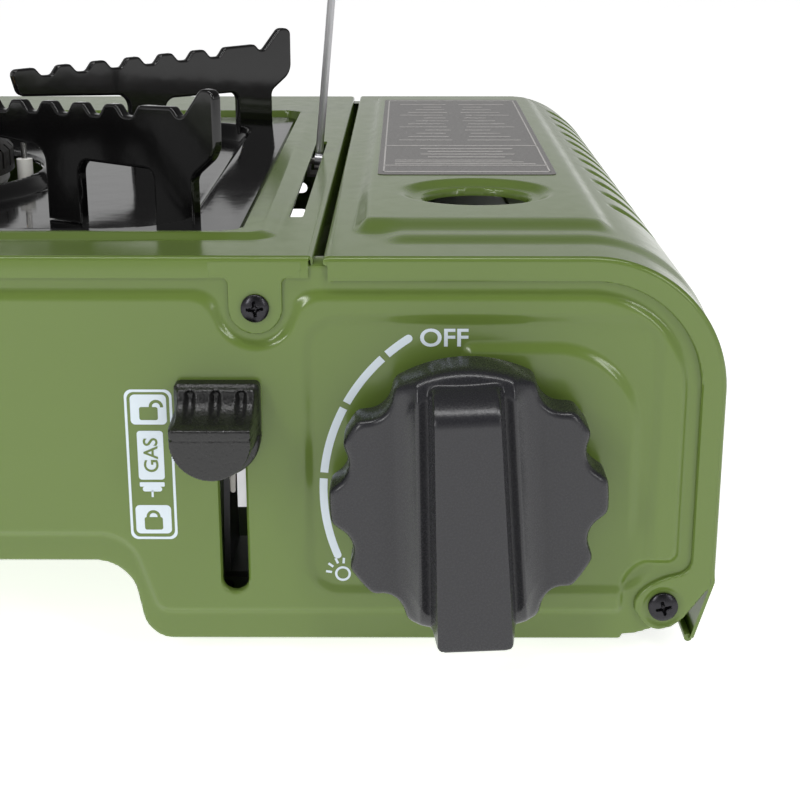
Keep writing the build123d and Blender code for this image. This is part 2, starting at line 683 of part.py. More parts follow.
def control_knob():
    """Scalloped dial with a raised finger grip between two ridges."""
    disc = Circle(KNOB_RADIUS)
    for angle in (40, 72, 108, 144):
        for side in (-1, 1):
            heading = radians(90 + side * angle)
            reach = KNOB_RADIUS + 2.2
            disc -= Pos(reach * cos(heading), reach * sin(heading)) * Circle(5.2)
    knob = slab_y(disc, KNOB_FACE, KNOB_BACK)
    knob -= rod((0, KNOB_BACK - 5.5, 0), (0, KNOB_BACK + 1, 0), 25.0)
    knob += rod((0, KNOB_FACE + 1, 0), (0, FRONT - 1.0, 0), 7.5)
    grip = rounded((-7.6, -28.2, 2.0), (7.6, -28.2, 2.0), (6.5, 25.4, 1.5), (-6.5, 25.4, 1.5))
    side_view = [(KNOB_FACE + 1, -40), (GRIP_FACE, -40), (GRIP_FACE, 19), (KNOB_FACE + 1, 26)]
    wedge = make_face(Polyline(*side_view, close=True))
    knob += slab_y(grip, GRIP_FACE, KNOB_FACE + 1) & slab_x(wedge, -20, 20)
    for crest in (-9.8, 9.8):
        ridge = rectangle(crest - 1.4, crest + 1.4, -26.0, 26.0, 1.2)
        knob += slab_y(ridge, KNOB_FACE - 3.2, KNOB_FACE + 1)
    knob = Pos(KNOB[0], 0, KNOB[1]) * Rot(0, -KNOB_REST_TILT, 0) * knob
    socket = rod((KNOB[0], KNOB_FACE + 2.0, KNOB[1]), (KNOB[0], FRONT, KNOB[1]), SPINDLE)
    return knob - (socket - block(100, 135, KNOB_FACE, FRONT - 2.0, KNOB[1] + 2.6, KNOB[1] + 6))


def d_shape(x, top, bottom, half_width):
    """Flat-topped face with a round lower end."""
    straight = rectangle(x - half_width, x + half_width, bottom + half_width - 1, top, 0.9)
    return straight + Pos(x, bottom + half_width) * Circle(half_width)


def fuel_lever_knob():
    base = slab_y(d_shape(LEVER_KNOB_X, LEVER_KNOB_TOP, 43.2, 8.9), FRONT - 4.4, FRONT - 0.6)
    shelf = slab_y(d_shape(LEVER_KNOB_X, 57.3, 47.0, 8.4), FRONT - 15.5, FRONT - 4.4)
    points = [(4.4, 56), (4.4, 62.5), (8.0, 58.6), (14.5, 57.0), (14.5, 56)]
    slope = make_face(Polyline(*[(FRONT - out, z) for out, z in points], close=True))
    knob = base + shelf + slab_x(slope, LEVER_KNOB_X - 8.0, LEVER_KNOB_X + 8.0)
    columns = [LEVER_KNOB_X + step * 5.2 for step in (-1, 0, 1)]
    grooves = [rod((at, FRONT - 8.5, 64.0), (at, FRONT - 9.6, 57.4), 1.2) for at in columns]
    x = SLOT[0]
    return knob - grooves - block(x - 2.0, x + 2.0, FRONT - 3.6, FRONT, 46.5, 54.0)


def lever_slider():
    """Steel slide behind the panel: stem through the slot, guided plate, pin for the crank."""
    x = SLOT[0]
    y, z = CRANK_PIVOT
    pin_z = z + LEVER_TRAVEL / 2
    pin_y = y - CRANK_REACH
    stem = block(x - 2.0, x + 2.0, FRONT - 3.6, FRONT + 4.0, 46.5, 54.0)
    plate = block(58.2, 75.8, FRONT + 2.4, FRONT + 4.0, 44.0, 60.0)
    plate += block(67.8, 75.8, FRONT + 2.4, FRONT + 4.0, 34.3, 46.0)
    ear = block(71.0, 73.0, FRONT + 4.0, pin_y + 4, pin_z - 5, pin_z + 5)
    pin = rod((64.0, pin_y, pin_z), (71.5, pin_y, pin_z), 2.0)
    return stem + plate + ear + pin


def lever_guide_rails():
    rails = []
    for x0, x1, grip in ((55.4, 57.9, 60.0), (76.1, 78.6, 74.0)):
        wall = block(x0, x1, FRONT + SHEET, FRONT + 6.0, 8.5, 70.0)
        rear_lap = block(min(x0, grip), max(x1, grip), FRONT + 4.3, FRONT + 6.0, 8.5, 70.0)
        front_lap = block(min(x0, grip), max(x1, grip), FRONT + SHEET, FRONT + 2.1, 8.5, 70.0)
        rails.append(wall + rear_lap + front_lap)
    return rails


def bell_crank():
    """Slotted two-arm crank that turns the lever's drop into the pusher's stroke."""
    y, z = CRANK_PIVOT
    half = radians(CRANK_SWING / 2)
    hub = Circle(6.0)
    front = Pos(-16.3, 0) * RectangleRounded(40.6, 8.0, 3.4)
    front -= Pos(-CRANK_REACH - 1.6, 0) * SlotCenterToCenter(3.2, 4.8)
    upper = Pos(0, 7.0) * RectangleRounded(9.0, 22.0, 4.0)
    upper -= Pos(0, CRANK_LIFT + 0.7) * Rot(0, 0, 90) * SlotCenterToCenter(2.2, 5.0)
    face = hub + front + upper - Circle(2.5 + RUNNING)
    return slab_x(Pos(y, z) * Rot(0, 0, -degrees(half)) * face, 65.4, 68.4)


def crank_pin():
    y, z = CRANK_PIVOT
    return rod((61.0, y, z), (72.6, y, z), 2.5) + rod((60.0, y, z), (61.0, y, z), 4.0)


def crank_bracket():
    y, z = CRANK_PIVOT
    low = FLOOR
    cheek = rounded((y - 11, low, 0.4), (y + 11, low, 0.4), (y + 5, z + 5, 4.0), (y - 5, z + 5, 4.0))
    cheek -= Pos(y, z) * Circle(2.5)
    cheeks = slab_x(cheek, 61.0, 62.4) + slab_x(cheek, 71.2, 72.6)
    return cheeks + block(61.0, 72.6, y - 11, y + 11, low, low + 1.4)


def push_rod():
    y = CRANK_PIVOT[0] + PUSHER_TRAVEL / 2
    bar = block(*ROD_X, y - 12, 131.0, ROD_Z - 3, ROD_Z + 3)
    cross = block(ROD_X[0], 128.0, 128.6, 131.0, ROD_Z - 3, ROD_Z + 3)
    pin = rod((63.6, y, ROD_Z), (ROD_X[0] + 1, y, ROD_Z), 2.0)
    return bar + cross + pin


def pusher_plate():
    x, z = CANISTER
    plate = slab_y(Pos(x, z) * Circle(20.0), 126.4, 128.6)
    return fillet(plate.edges().filter_by(GeomType.CIRCLE).sort_by(Axis.Y)[0], 1.0)


def pusher_guides():
    guides = []
    x0, x1 = ROD_X
    window = (x0 - GAP, x1 + GAP, ROD_Z - 3 - GAP, ROD_Z + 3 + GAP)
    for y in (-22.0, 92.0):
        plate = slab_y(rectangle(69.0, 83.4, ROD_Z - 8, ROD_Z + 8, 0.5), y, y + 2.4)
        guides.append(plate - block(*window[:2], y - 1, y + 4, *window[2:]))
    return guides


def stay_axis():
    return cos(radians(STAY_LEAN)), 0.0, -sin(radians(STAY_LEAN))


def along_stay_axis(distance):
    return tuple(p + distance * a for p, a in zip(STAY_PIVOT, stay_axis()))


def wire_stay():
    """Straight wire with an eye at its foot, leaning a little to the right."""
    x, y, z = STAY_PIVOT
    lean = radians(STAY_LEAN)
    tip = (x + STAY_LENGTH * sin(lean), y, z + STAY_LENGTH * cos(lean))
    shaft = rod(STAY_PIVOT, tip, STAY_WIRE)
    shaft = fillet(shaft.edges().filter_by(GeomType.CIRCLE).sort_by(Axis.Z)[-1], 0.8)
    eye = rod(along_stay_axis(-STAY_WIRE), along_stay_axis(STAY_WIRE), 2.4)
    return shaft + eye - rod(along_stay_axis(-3), along_stay_axis(3), 0.95 + RUNNING)


def stay_pin():
    return rod(along_stay_axis(-3.6), along_stay_axis(3.6), 0.95)


def stay_bracket():
    _, y, _ = STAY_PIVOT
    bracket = block(75.6, 82.0, y - 4, y + 4, 83.4, TOP - SHEET)
    bracket -= block(76.4, 81.2, y - 5, y + 5, 84.2, TOP)
    return bracket - rod(along_stay_axis(-4.5), along_stay_axis(4.5), 0.95)


def write(name, shapes):
    shapes = shapes if isinstance(shapes, list) else [shapes]
    solids = [solid for shape in shapes for solid in shape.solids()]
    export_step(Compound(children=solids) if len(solids) > 1 else solids[0], f"parts/{name}.step")


PIECES = {
    "front_panel": front_panel,
    "rear_panel": rear_panel,
    "base_tray": base_tray,
    "short_rubber_feet": lambda: feet(False),
    "tall_rubber_feet": lambda: feet(True),
    "top_deck": top_deck,
    "deck_screws": deck_screws,
    "partition": partition,
    "drip_pan": drip_pan,
    "burner_support": burner_support,
    "burner_bowl": burner_bowl,
    "mixing_tube": mixing_tube,
    "burner_head": burner_head,
    "burner_cap": burner_cap,
    "burner_screw": burner_screw,
    "gas_jet": gas_jet,
    "gas_pipe": gas_pipe,
    "jet_bracket": jet_bracket,
    "regulator_body": regulator_body,
    "diaphragm_cap": diaphragm_cap,
    "canister_guide_plate": canister_guide_plate,
    "regulator_screws": regulator_screws,
    "canister_seal": canister_seal,
    "canister_cradle": canister_cradle,
    "heat_plate": heat_plate,
    "igniter_cam": igniter_cam,
    "valve_spindle": valve_spindle,
    "control_knob": control_knob,
    "piezo_igniter": piezo_igniter,
    "piezo_plunger": piezo_plunger,
    "electrode_ceramic": electrode_ceramic,
    "electrode_tip": electrode_tip,
    "electrode_bracket": electrode_bracket,
    "ignition_wire": ignition_wire,
    "canister_cover": canister_cover,
    "cover_label": cover_label,
    "cover_pivot_screws": cover_pivot_screws,
    "fuel_lever_knob": fuel_lever_knob,
    "lever_slider": lever_slider,
    "lever_guide_rails": lever_guide_rails,
    "bell_crank": bell_crank,
    "crank_pin": crank_pin,
    "crank_bracket": crank_bracket,
    "push_rod": push_rod,
    "pusher_plate": pusher_plate,
    "pusher_guides": pusher_guides,
    "wire_stay": wire_stay,
    "stay_pin": stay_pin,
    "stay_bracket": stay_bracket,
}

for name, make in PIECES.items():
    write(name, make())

ARMS = {
    "pot_support_right_rear": (ARM_ANGLE_REAR, ARM_SHIFT),
    "pot_support_left_rear": (180 - ARM_ANGLE_REAR, -ARM_SHIFT),
    "pot_support_left_front": (180 + ARM_ANGLE_FRONT, ARM_SHIFT),
    "pot_support_right_front": (-ARM_ANGLE_FRONT, -ARM_SHIFT),
}
for name, (angle, shift) in ARMS.items():
    write(name, pot_support(angle, shift))
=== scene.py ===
import math

import bpy
import numpy as np
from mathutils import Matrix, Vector


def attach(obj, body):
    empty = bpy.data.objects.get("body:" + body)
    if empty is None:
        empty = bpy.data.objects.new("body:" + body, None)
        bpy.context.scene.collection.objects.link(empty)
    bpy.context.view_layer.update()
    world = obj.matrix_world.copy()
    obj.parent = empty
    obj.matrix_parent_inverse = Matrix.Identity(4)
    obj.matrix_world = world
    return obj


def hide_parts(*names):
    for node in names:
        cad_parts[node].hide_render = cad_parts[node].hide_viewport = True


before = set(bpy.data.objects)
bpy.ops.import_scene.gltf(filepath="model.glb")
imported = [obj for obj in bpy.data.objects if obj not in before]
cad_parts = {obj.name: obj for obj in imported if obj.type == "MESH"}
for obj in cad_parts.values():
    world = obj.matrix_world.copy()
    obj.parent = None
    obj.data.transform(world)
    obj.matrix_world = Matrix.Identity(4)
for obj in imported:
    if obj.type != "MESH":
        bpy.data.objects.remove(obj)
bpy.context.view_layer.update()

# Lengths are millimetres in the CAD frame, with +Z up and the control panel facing -Y.
FRONT, REAR, LEFT, RIGHT, TOP = -127.0, 148.6, -171.0, 171.0, 90.0
SHEET = 0.8                    # sheet thickness shown at edges and holes
MM = 0.001


# ---------------------------------------------------------------- materials

def new_material(name):
    material = bpy.data.materials.new(name)
    material.use_nodes = True
    tree = material.node_tree
    return material, tree, tree.nodes["Principled BSDF"]


def add_noise(tree, scale, detail=2.0, rough=0.5):
    coords = tree.nodes.new("ShaderNodeTexCoord")
    noise = tree.nodes.new("ShaderNodeTexNoise")
    noise.inputs["Scale"].default_value = scale
    noise.inputs["Detail"].default_value = detail
    noise.inputs["Roughness"].default_value = rough
    tree.links.new(coords.outputs["Object"], noise.inputs["Vector"])
    return noise


def spread(tree, source, low, high):
    """The middle range of a noise, stretched to run from low to high."""
    node = tree.nodes.new("ShaderNodeMapRange")
    node.inputs["From Min"].default_value = 0.3
    node.inputs["From Max"].default_value = 0.7
    node.inputs["To Min"].default_value = low
    node.inputs["To Max"].default_value = high
    tree.links.new(source, node.inputs["Value"])
    return node.outputs["Result"]


def surface(name, color, rough, metallic=0.0, vary=0.06, grain=(900.0, 0.02), coat=0.0, ior=1.5):
    """Plain finish with faint procedural unevenness in colour, gloss and relief."""
    material, tree, shader = new_material(name)
    broad = add_noise(tree, 18.0, 3.0)
    mix = tree.nodes.new("ShaderNodeMix")
    mix.data_type = "RGBA"
    mix.inputs["A"].default_value = [c * (1 - vary) for c in color] + [1]
    mix.inputs["B"].default_value = [min(1, c * (1 + vary)) for c in color] + [1]
    tree.links.new(broad.outputs["Fac"], mix.inputs["Factor"])
    tree.links.new(mix.outputs["Result"], shader.inputs["Base Color"])
    fine = add_noise(tree, grain[0], 2.0)
    tree.links.new(spread(tree, fine.outputs["Fac"], rough * 0.88, rough * 1.12), shader.inputs["Roughness"])
    bump = tree.nodes.new("ShaderNodeBump")
    bump.inputs["Strength"].default_value = grain[1]
    bump.inputs["Distance"].default_value = 0.0004
    tree.links.new(fine.outputs["Fac"], bump.inputs["Height"])
    tree.links.new(bump.outputs["Normal"], shader.inputs["Normal"])
    shader.inputs["Metallic"].default_value = metallic
    shader.inputs["Coat Weight"].default_value = coat
    shader.inputs["IOR"].default_value = ior
    return material


OLIVE = surface("olive_enamel", (0.122, 0.184, 0.038), 0.18, vary=0.02, grain=(260.0, 0.005))
BLACK = surface("black_enamel", (0.004, 0.0038, 0.004), 0.09, vary=0.2, grain=(120.0, 0.10))
SHELL_PLASTIC = surface("charcoal_plastic", (0.017, 0.017, 0.020), 0.27, vary=0.05, grain=(2600.0, 0.035))
LEVER_PLASTIC = surface("grained_plastic", (0.011, 0.011, 0.011), 0.30, vary=0.2, grain=(1700.0, 0.35))
ZINC = surface("zinc_plate", (0.46, 0.46, 0.47), 0.33, 1.0, vary=0.10, grain=(500.0, 0.06))
STEEL_WIRE = surface("steel_wire", (0.42, 0.42, 0.43), 0.32, 1.0, vary=0.08)
# Darker copy of the zinc for parts seen inside the slots: a dull finish, with the shade inside the housing
# painted into its colour.
DULL_ZINC_PAINTED_SHADE = surface("dull_zinc_painted_shade", (0.30, 0.29, 0.27), 0.45, 1.0, vary=0.12)
NICKEL = surface("nickel_plate", (0.66, 0.65, 0.63), 0.20, 1.0, vary=0.04)
DARK_STEEL = surface("blackened_steel", (0.035, 0.034, 0.038), 0.28, 0.9, vary=0.1)
RUBBER = surface("black_rubber", (0.018, 0.018, 0.018), 0.75, vary=0.15, grain=(900.0, 0.2))
CAST = surface("cast_aluminium", (0.55, 0.55, 0.54), 0.48, 1.0, vary=0.1, grain=(700.0, 0.3))
BRASS = surface("turned_brass", (0.72, 0.47, 0.16), 0.24, 1.0, vary=0.06)
COPPER = surface("drawn_copper", (0.80, 0.38, 0.22), 0.26, 1.0, vary=0.08)
BURNER_IRON = surface("burner_iron", (0.045, 0.043, 0.042), 0.50, 0.8, vary=0.15, grain=(800.0, 0.3))
CERAMIC = surface("glazed_ceramic", (0.80, 0.79, 0.74), 0.18, vary=0.03)
LEAD = surface("silicone_lead", (0.42, 0.10, 0.045), 0.55, vary=0.08)
INK = surface("pale_ink", (0.66, 0.74, 0.80), 0.38, vary=0.02)
PLATE_FILM = surface("plate_film", (0.135, 0.125, 0.120), 0.30, vary=0.08)
PLATE_INK = surface("plate_ink", (0.62, 0.60, 0.58), 0.40, vary=0.05)


# ---------------------------------------------------------------- flat outlines

def fillet(corners, chord=0.35):
    """Closed outline through (u, v, radius) corners, as an array of points."""
    points = []
    count = len(corners)
    for index, (u, v, radius) in enumerate(corners):
        before = np.array(corners[index - 1][:2], float)
        here = np.array((u, v), float)
        after = np.array(corners[(index + 1) % count][:2], float)
        a = before - here
        b = after - here
        la, lb = np.linalg.norm(a), np.linalg.norm(b)
        a, b = a / la, b / lb
        half = math.acos(max(-1, min(1, a @ b))) / 2
        if radius < 0.05 or half > 1.56:
            points.append(here)
            continue
        reach = min(radius / math.tan(half), la * 0.499, lb * 0.499)
        radius = reach * math.tan(half)
        bisector = (a + b) / np.linalg.norm(a + b)
        centre = here + bisector * (radius / math.sin(half))
        start = here + a * reach - centre
        turn = math.pi - 2 * half
        side = 1 if a[0] * b[1] - a[1] * b[0] < 0 else -1
        chords = max(2, int(radius * turn / chord))
        for step in range(chords + 1):
            t = side * turn * step / chords
            c, s = math.cos(t), math.sin(t)
            points.append(centre + (start[0] * c - start[1] * s, start[0] * s + start[1] * c))
    return np.array(points)


def outline_distance(u, v, outline):
    """Signed distance to a closed outline, negative inside."""
    best = np.full(u.shape, 1e9)
    crossings = np.zeros(u.shape, int)
    for (x0, y0), (x1, y1) in zip(outline, np.roll(outline, -1, axis=0)):
        dx, dy = x1 - x0, y1 - y0
        length = dx * dx + dy * dy
        if length < 1e-12:
            continue
        t = np.clip(((u - x0) * dx + (v - y0) * dy) / length, 0, 1)
        best = np.minimum(best, (u - x0 - t * dx) ** 2 + (v - y0 - t * dy) ** 2)
        if y0 != y1:
            hit = ((y0 > v) != (y1 > v)) & (u < x0 + (v - y0) * dx / dy)
            crossings += hit
    return np.sqrt(best) * np.where(crossings % 2 == 1, -1, 1)


def box_distance(u, v, u0, u1, v0, v1, radius):
    """Signed distance to a rounded box, negative inside, as for the circle and capsule below."""
    du = np.abs(u - (u0 + u1) / 2) - (u1 - u0) / 2 + radius
    dv = np.abs(v - (v0 + v1) / 2) - (v1 - v0) / 2 + radius
    outside = np.hypot(np.maximum(du, 0), np.maximum(dv, 0))
    return outside + np.minimum(np.maximum(du, dv), 0) - radius


def circle_distance(u, v, cu, cv, radius):
    return np.hypot(u - cu, v - cv) - radius


def capsule_distance(u, v, u0, v0, u1, v1, radius):
    du, dv = u1 - u0, v1 - v0
    t = np.clip(((u - u0) * du + (v - v0) * dv) / (du * du + dv * dv), 0, 1)
    return np.hypot(u - u0 - t * du, v - v0 - t * dv) - radius


def blend_max(a, b, soft):
    """Maximum of two fields with a rounded seam."""
    h = np.clip(0.5 + 0.5 * (a - b) / soft, 0, 1)
    return b * (1 - h) + a * h + soft * h * (1 - h)


def blend_min(a, b, soft):
    return -blend_max(-a, -b, soft)


def ease(t):
    t = np.clip(t, 0, 1)
    return t * t * (3 - 2 * t)


def ramp(t, soft=0.22):
    """0 to 1 in a straight slope with rounded ends."""
    t = np.clip(t, 0, 1)
    slope = 1 / (1 - soft)
    middle = slope * (t - soft / 2)
    low = slope * t * t / (2 * soft)
    high = 1 - slope * (1 - t) ** 2 / (2 * soft)
    return np.where(t < soft, low, np.where(t > 1 - soft, high, middle))


def rise(distance, width):
    """0 outside an outline, climbing to 1 at width inside it."""
    return ramp(-distance / width)


def edge_fall(distance, radius):
    """How far a rolled edge of that radius has dropped at a distance inside the edge."""
    inside = np.clip(radius + distance, 0, radius)
    return radius - np.sqrt(np.maximum(radius * radius - inside * inside, 0))


def flat(value):
    """Field with one value everywhere, for a sheet's lift or skirt."""
    return lambda u, v, height: np.full(u.shape, value)


def steps(*knots):
    """Grid lines through (position, spacing) knots; each spacing holds up to the next knot."""
    lines = []
    for (start, spacing), (end, _) in zip(knots, knots[1:]):
        count = max(1, int(round((end - start) / spacing)))
        lines += [start + (end - start) * index / count for index in range(count)]
    return np.array(lines + [knots[-1][0]])


# ---------------------------------------------------------------- meshes

def make_object(name, vertices, faces, material, body, sharp=38.0, stands_for=()):
    mesh = bpy.data.meshes.new(name)
    mesh.from_pydata((np.asarray(vertices, float) * MM).tolist(), [], faces)
    mesh.materials.append(material)
    mesh.validate()
    mesh.shade_smooth()
    mesh.set_sharp_from_angle(angle=math.radians(sharp))
    made = bpy.data.objects.new(name, mesh)
    bpy.context.scene.collection.objects.link(made)
    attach(made, body)
    if stands_for:
        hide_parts(*stands_for)
    return made


def formed_sheet(us, vs, inside, lift, place, skirt=SHEET):
    """Vertices and faces of a pressed sheet: lift(u, v, distance) is its relief inside the outline.
    Its edge turns back by skirt, or to the height that skirt(u, v, height) gives. place maps u, v,
    height to x, y, z."""
    u, v = np.meshgrid(us, vs, indexing="ij")
    d = inside(u, v)
    keep = d < 0
    number = np.full(u.shape, -1)
    number[keep] = np.arange(keep.sum())
    all_u, all_v, all_d = list(u[keep]), list(v[keep]), list(d[keep])
    corner = [keep[:-1, :-1], keep[1:, :-1], keep[1:, 1:], keep[:-1, 1:]]
    total = sum(c.astype(int) for c in corner)
    fi, fj = np.nonzero(total == 4)
    quads = np.stack([number[fi, fj], number[fi + 1, fj], number[fi + 1, fj + 1], number[fi, fj + 1]], 1)
    faces = quads.tolist()
    made, rim = {}, []

    def crossing(p, q):
        key = (p, q) if p < q else (q, p)
        if key not in made:
            (i0, j0), (i1, j1) = key
            t = d[i0, j0] / (d[i0, j0] - d[i1, j1])
            made[key] = len(all_u)
            all_u.append(u[i0, j0] + t * (u[i1, j1] - u[i0, j0]))
            all_v.append(v[i0, j0] + t * (v[i1, j1] - v[i0, j0]))
            all_d.append(0.0)
        return made[key]

    mi, mj = np.nonzero((total > 0) & (total < 4))
    for i, j in zip(mi.tolist(), mj.tolist()):
        ring = [(i, j), (i + 1, j), (i + 1, j + 1), (i, j + 1)]
        polygon, cut = [], []
        for here, after in zip(ring, ring[1:] + ring[:1]):
            if keep[here]:
                polygon.append(int(number[here]))
            if keep[here] != keep[after]:
                cut.append(len(polygon))
                polygon.append(crossing(here, after))
        if len(polygon) < 3:
            continue
        faces.append(polygon)
        for a in cut:
            b = (a + 1) % len(polygon)
            if b in cut:
                rim.append((polygon[a], polygon[b]))
    pu, pv, pd = np.array(all_u), np.array(all_v), np.array(all_d)
    height = lift(pu, pv, pd)
    count = len(pu)
    vertices = place(pu, pv, height)
    if skirt:
        edge = sorted({p for pair in rim for p in pair})
        below = {p: count + index for index, p in enumerate(edge)}
        depth = skirt(pu[edge], pv[edge], height[edge]) if callable(skirt) else height[edge] - skirt
        vertices = np.vstack([vertices, place(pu[edge], pv[edge], depth)])
        faces += [[b, a, below[a], below[b]] for a, b in rim]
    return vertices, faces


def join(*parts):
    """Several (vertices, faces) pairs as one."""
    vertices, faces, base = [], [], 0
    for v, f in parts:
        vertices.append(np.asarray(v, float))
        faces += [[p + base for p in face] for face in f]
        base += len(v)
    return np.vstack(vertices), faces


def upright(y, side):
    """Placing on a vertical sheet at y whose face looks to side, -Y or +Y, with u as x or -x."""
    def place(u, v, height):
        return np.stack([u * -side, np.full(u.shape, y) + side * height, v], 1)
    return place


def level(u, v, height):
    """Placing on the deck's level, with u, v as x, y."""
    return np.stack([u, v, TOP + height], 1)


def prism(outline, thickness, place, bevel=0.0):
    """Plate with rounded edges, half its thickness each side of the outline's plane. A bevelled one has
    a support ring inside each face, which keeps the face's shading flat."""
    half = thickness / 2
    turns = np.linspace(0, math.pi / 2, 4) if bevel else []
    loops = [(-half + bevel * (1 - math.sin(t)), bevel * (1 - math.cos(t))) for t in turns[::-1]]
    loops += [(half - bevel * (1 - math.sin(t)), bevel * (1 - math.cos(t))) for t in turns]
    if bevel:
        support = bevel + 0.3
        loops = [(-half, support), *loops, (half, support)]
    loops = loops or [(-half, 0), (half, 0)]
    count = len(outline)
    ahead = np.roll(outline, -1, axis=0) - outline
    ahead /= np.linalg.norm(ahead, axis=1)[:, None]
    behind = np.roll(ahead, 1, axis=0)
    normal = np.column_stack([-(ahead + behind)[:, 1], (ahead + behind)[:, 0]])
    normal /= np.maximum(np.linalg.norm(normal, axis=1), 1e-9)[:, None]
    u, v = outline[:, 0], outline[:, 1]
    clockwise = np.sum(u * np.roll(v, -1) - np.roll(u, -1) * v) < 0
    if clockwise:
        normal = -normal
    rings = [place(outline + normal * inset, height) for height, inset in loops]
    last = count * (len(loops) - 1)
    faces = [list(range(count))[::-1], [p + last for p in range(count)]]
    for base in range(0, last, count):
        for p in range(count):
            q = (p + 1) % count
            faces.append([base + p, base + q, base + count + q, base + count + p])
    if clockwise:
        faces = [face[::-1] for face in faces]
    return np.vstack(rings), faces


def tube_along(points, radius, sides=16):
    """Round bar through a list of points."""
    points = np.array(points, float)
    rings = []
    for index, point in enumerate(points):
        before = points[max(index - 1, 0)]
        after = points[min(index + 1, len(points) - 1)]
        axis = (after - before) / np.linalg.norm(after - before)
        across = np.cross(axis, (0, 1, 0)) if abs(axis[1]) < 0.9 else np.cross(axis, (1, 0, 0))
        across /= np.linalg.norm(across)
        other = np.cross(axis, across)
        angles = np.linspace(0, 2 * math.pi, sides, endpoint=False)
        circle = np.outer(np.cos(angles), across) + np.outer(np.sin(angles), other)
        rings.append(point + radius * circle)
    faces = [list(range(sides))[::-1], [p + sides * (len(points) - 1) for p in range(sides)]]
    for base in range(0, sides * (len(points) - 1), sides):
        for p in range(sides):
            q = (p + 1) % sides
            faces.append([base + p, base + q, base + sides + q, base + sides + p])
    return np.vstack(rings), faces


# ---------------------------------------------------------------- front and rear panels

PANEL = fillet([
    (-170.1, 22.6, 1.0), (44.2, 22.6, 9.0), (47.6, 4.1, 7.0), (151.1, 4.1, 0.3), (151.4, 5.1, 0.4),
    (155.0, 5.6, 3.0), (161.0, 7.7, 3.5), (166.4, 13.4, 3.0), (168.0, 24.0, 3.0), (168.0, 88.3, 26.0),
    (-170.1, 88.3, 1.0),
])
FIELD = fillet([
    (-165.0, 28.3, 5.0), (43.8, 28.3, 8.0), (49.6, 10.2, 4.5), (151.6, 10.2, 2.0), (152.2, 22.0, 8.0),
    (163.4, 22.0, 3.0), (163.4, 83.0, 22.0), (-165.0, 83.0, 5.0),
])
TAB_SCREWS = [(73.0, 79.3), (-152.0, 79.3)]
KNOB = (117.7, 41.6)
FIELD_RISE, RECESS_DEPTH, BOSS_RISE = 1.2, 0.7, 1.1
RECESS = (82.1, 157.9, 15.2, 78.3)
BOSS = fillet([(115.4, 18.0, 2.0), (153.8, 18.0, 4.0), (153.8, 72.1, 27.0), (115.4, 72.1, 2.5)])
BOSS_FADE = (24.0, 12.0)       # the boss rises from nothing above this height, over this length
LEVER_SLOT, SLOT_RADIUS = (67.2, 18.9, 67.2, 53.0), 2.8
KNOB_HOLE = 9.0
VENT_ROWS, VENT_STARTS, VENT_LENGTH, VENT_RADIUS = (46, 56, 66), (-138, -83, -28, 27), 38, 2.0
RIM_BACK = -7.8                # how far back the panels' outer rim reaches


def panel_relief(x, z):
    """Pressed relief of the panel's face, outward from the sheet."""
    field = outline_distance(x, z, FIELD)
    for sx, sz in TAB_SCREWS:
        field = blend_max(field, -capsule_distance(x, z, sx, sz, sx, sz + 30, 7.0), 6.0)
    height = FIELD_RISE * rise(field, 2.0)
    height -= RECESS_DEPTH * rise(box_distance(x, z, *RECESS, 8.0), 2.6)
    fade = ease((z - BOSS_FADE[0]) / BOSS_FADE[1])
    height += BOSS_RISE * rise(outline_distance(x, z, BOSS), 2.4) * fade
    return height


def panel_inside(x, z, controls):
    """The panel's outline, less the control holes of the front one or the vents of the rear one."""
    if controls:
        holes = [capsule_distance(x, z, *LEVER_SLOT, SLOT_RADIUS), circle_distance(x, z, *KNOB, KNOB_HOLE)]
    else:
        holes = [
            capsule_distance(x, z, start, row, start + VENT_LENGTH, row, VENT_RADIUS)
            for row in VENT_ROWS for start in VENT_STARTS
        ]
    distance = outline_distance(x, z, PANEL)
    for hole in holes:
        distance = np.maximum(distance, -hole)
    return distance


def panel_skirt(x, z, height):
    """The outer edge folds back as a rim; holes show only the sheet's thickness."""
    outer = outline_distance(x, z, PANEL) > -0.3
    return np.where(outer, RIM_BACK, height - SHEET)


def front_panel():
    xs = steps((-170.6, 1.4), (35, 0.5), (168.6, 0.5))
    zs = steps((3.6, 0.5), (88.9, 0.5))
    sheet = formed_sheet(
        xs, zs, lambda x, z: panel_inside(x, z, True),
        lambda x, z, d: panel_relief(x, z) - edge_fall(d, 0.7), upright(FRONT, -1), panel_skirt)
    make_object("front_sheet", *sheet, OLIVE, "housing", stands_for=["front_panel"])


def rear_panel():
    us = steps((-168.6, 0.9), (-35, 1.4), (170.6, 1.4))
    sheet = formed_sheet(
        us, steps((3.6, 0.8), (88.9, 0.8)), lambda u, z: panel_inside(-u, z, False),
        lambda u, z, d: 0.8 * rise(outline_distance(-u, z, FIELD), 2.2) - edge_fall(d, 0.7),
        upright(REAR, 1), lambda u, z, h: panel_skirt(-u, z, h))
    make_object("rear_sheet", *sheet, OLIVE, "housing", stands_for=["rear_panel"])


# ---------------------------------------------------------------- deck

DECK_RIGHT = 85.0
DECK_FRONT = FRONT - 0.8
DECK_REAR = REAR + 0.8
ROLL = 1.0
PROUD = 0.06                  # tabs and flanges stand this far in front of the skirt behind them
PAN = (-157.0, 67.0, -104.5, 97.0)
STAY_SLOT = (77.2, 80.4, -85.4, 33.4)
SKIRT_BACK, SIDE_SKIRT_BACK = -4.5, -9.0
TAB_RADIUS, TAB_HOLE, SKIRT_END = 5.6, 1.6, 85.5


def pan_box(x, y, inset, radius):
    return box_distance(x, y, PAN[0] + inset, PAN[1] - inset, PAN[2] + inset, PAN[3] - inset, radius)


def deck_outline(x, y):
    return box_distance(x, y, LEFT, DECK_RIGHT, DECK_FRONT, DECK_REAR, 1.2)


